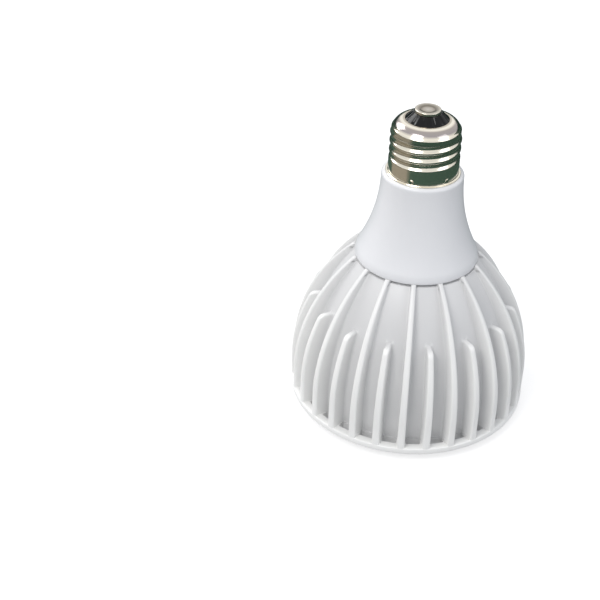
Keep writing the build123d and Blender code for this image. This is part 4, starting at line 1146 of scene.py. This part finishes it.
def make_card(name, start, end, colour):
    """A low coloured sheet round part of the table, angles in degrees, that only reflections show."""
    vertices = []
    for angle in [math.radians(degrees) for degrees in evenly(start, end, CARD_STEPS)]:
        x, y = math.cos(angle), math.sin(angle)
        vertices += [(CARD_NEAR * x, CARD_NEAR * y, CARD_LIFT), (CARD_FAR * x, CARD_FAR * y, CARD_LIFT),
                     (CARD_FAR * x, CARD_FAR * y, CARD_TOP)]
    card = new_piece(name, vertices, grid_faces(CARD_STEPS + 1, 3, False))
    material = bpy.data.materials.new(name)
    material.use_nodes = True
    cloth = material.node_tree.nodes["Principled BSDF"]
    cloth.inputs["Base Color"].default_value = (*colour, 1.0)
    cloth.inputs["Roughness"].default_value = 0.9
    card.data.materials.append(material)
    card.visible_camera = False
    card.visible_diffuse = False
    card.visible_shadow = False
    card.visible_transmission = False


def make_world():
    """Even pale light all round, behind which the background shows as white."""
    world = bpy.data.worlds.new("studio")
    bpy.context.scene.world = world
    world.use_nodes = True
    nodes, links = world.node_tree.nodes, world.node_tree.links
    sky = nodes["Background"]
    sky.inputs["Color"].default_value = (0.93, 0.95, 1.0, 1.0)
    sky.inputs["Strength"].default_value = WORLD_LEVEL
    white = nodes.new("ShaderNodeBackground")
    white.inputs["Color"].default_value = (1.0, 1.0, 1.0, 1.0)
    white.inputs["Strength"].default_value = 1.0
    choice = nodes.new("ShaderNodeMixShader")
    links.new(shown_white(world.node_tree), choice.inputs["Fac"])
    links.new(sky.outputs[0], choice.inputs[1])
    links.new(white.outputs[0], choice.inputs[2])
    links.new(choice.outputs[0], nodes["World Output"].inputs["Surface"])


def soft_box(name, place, width, height, power, colour):
    """A rectangular studio lamp that faces the middle of the bulb."""
    light = bpy.data.lights.new(name, "AREA")
    light.shape = "RECTANGLE"
    light.size = width * MM
    light.size_y = height * MM
    light.energy = power
    light.color = colour
    lamp = bpy.data.objects.new(name, light)
    bpy.context.scene.collection.objects.link(lamp)
    start, end = Vector(place) * MM, Vector(LAMP_AIM) * MM
    turn = (end - start).to_track_quat("-Z", "Y").to_matrix().to_4x4()
    lamp.matrix_world = Matrix.Translation(start) @ turn


def place_camera():
    """The camera that was fitted to the photo."""
    data = bpy.data.cameras.new("camera")
    data.lens = CAMERA_LENS
    data.sensor_width = CAMERA_SENSOR
    data.clip_start = CAMERA_NEAR * MM
    camera = bpy.data.objects.new("camera", data)
    bpy.context.scene.collection.objects.link(camera)
    pitch, roll = math.radians(CAMERA_PITCH), math.radians(CAMERA_ROLL)
    forward = Vector((0.0, math.cos(pitch), -math.sin(pitch)))
    level, down = Vector((1.0, 0.0, 0.0)), Vector((0.0, -math.sin(pitch), -math.cos(pitch)))
    right = math.cos(roll) * level + math.sin(roll) * down
    below = -math.sin(roll) * level + math.cos(roll) * down
    turn = Matrix((right, -below, -forward)).transposed().to_4x4()
    camera.matrix_world = Matrix.Translation(Vector(CAMERA_PLACE) * MM) @ turn
    bpy.context.scene.camera = camera


make_floor()
make_card("dark_card", 222.0, 506.0, (0.025, 0.065, 0.045))
make_card("warm_card", 146.0, 214.0, (0.25, 0.225, 0.18))
make_card("middle_card", 214.0, 222.0, (0.12, 0.13, 0.1))
make_world()
soft_box("key", (-300, -360, 560), 300, 300, 1.85, (1.0, 0.985, 0.965))
soft_box("fill", (460, -260, 400), 300, 400, 0.5, (0.94, 0.96, 1.0))
soft_box("back", (-400, 330, 420), 300, 300, 1.5, (1.0, 1.0, 1.0))
place_camera()
bpy.context.scene.view_settings.view_transform = "Standard"
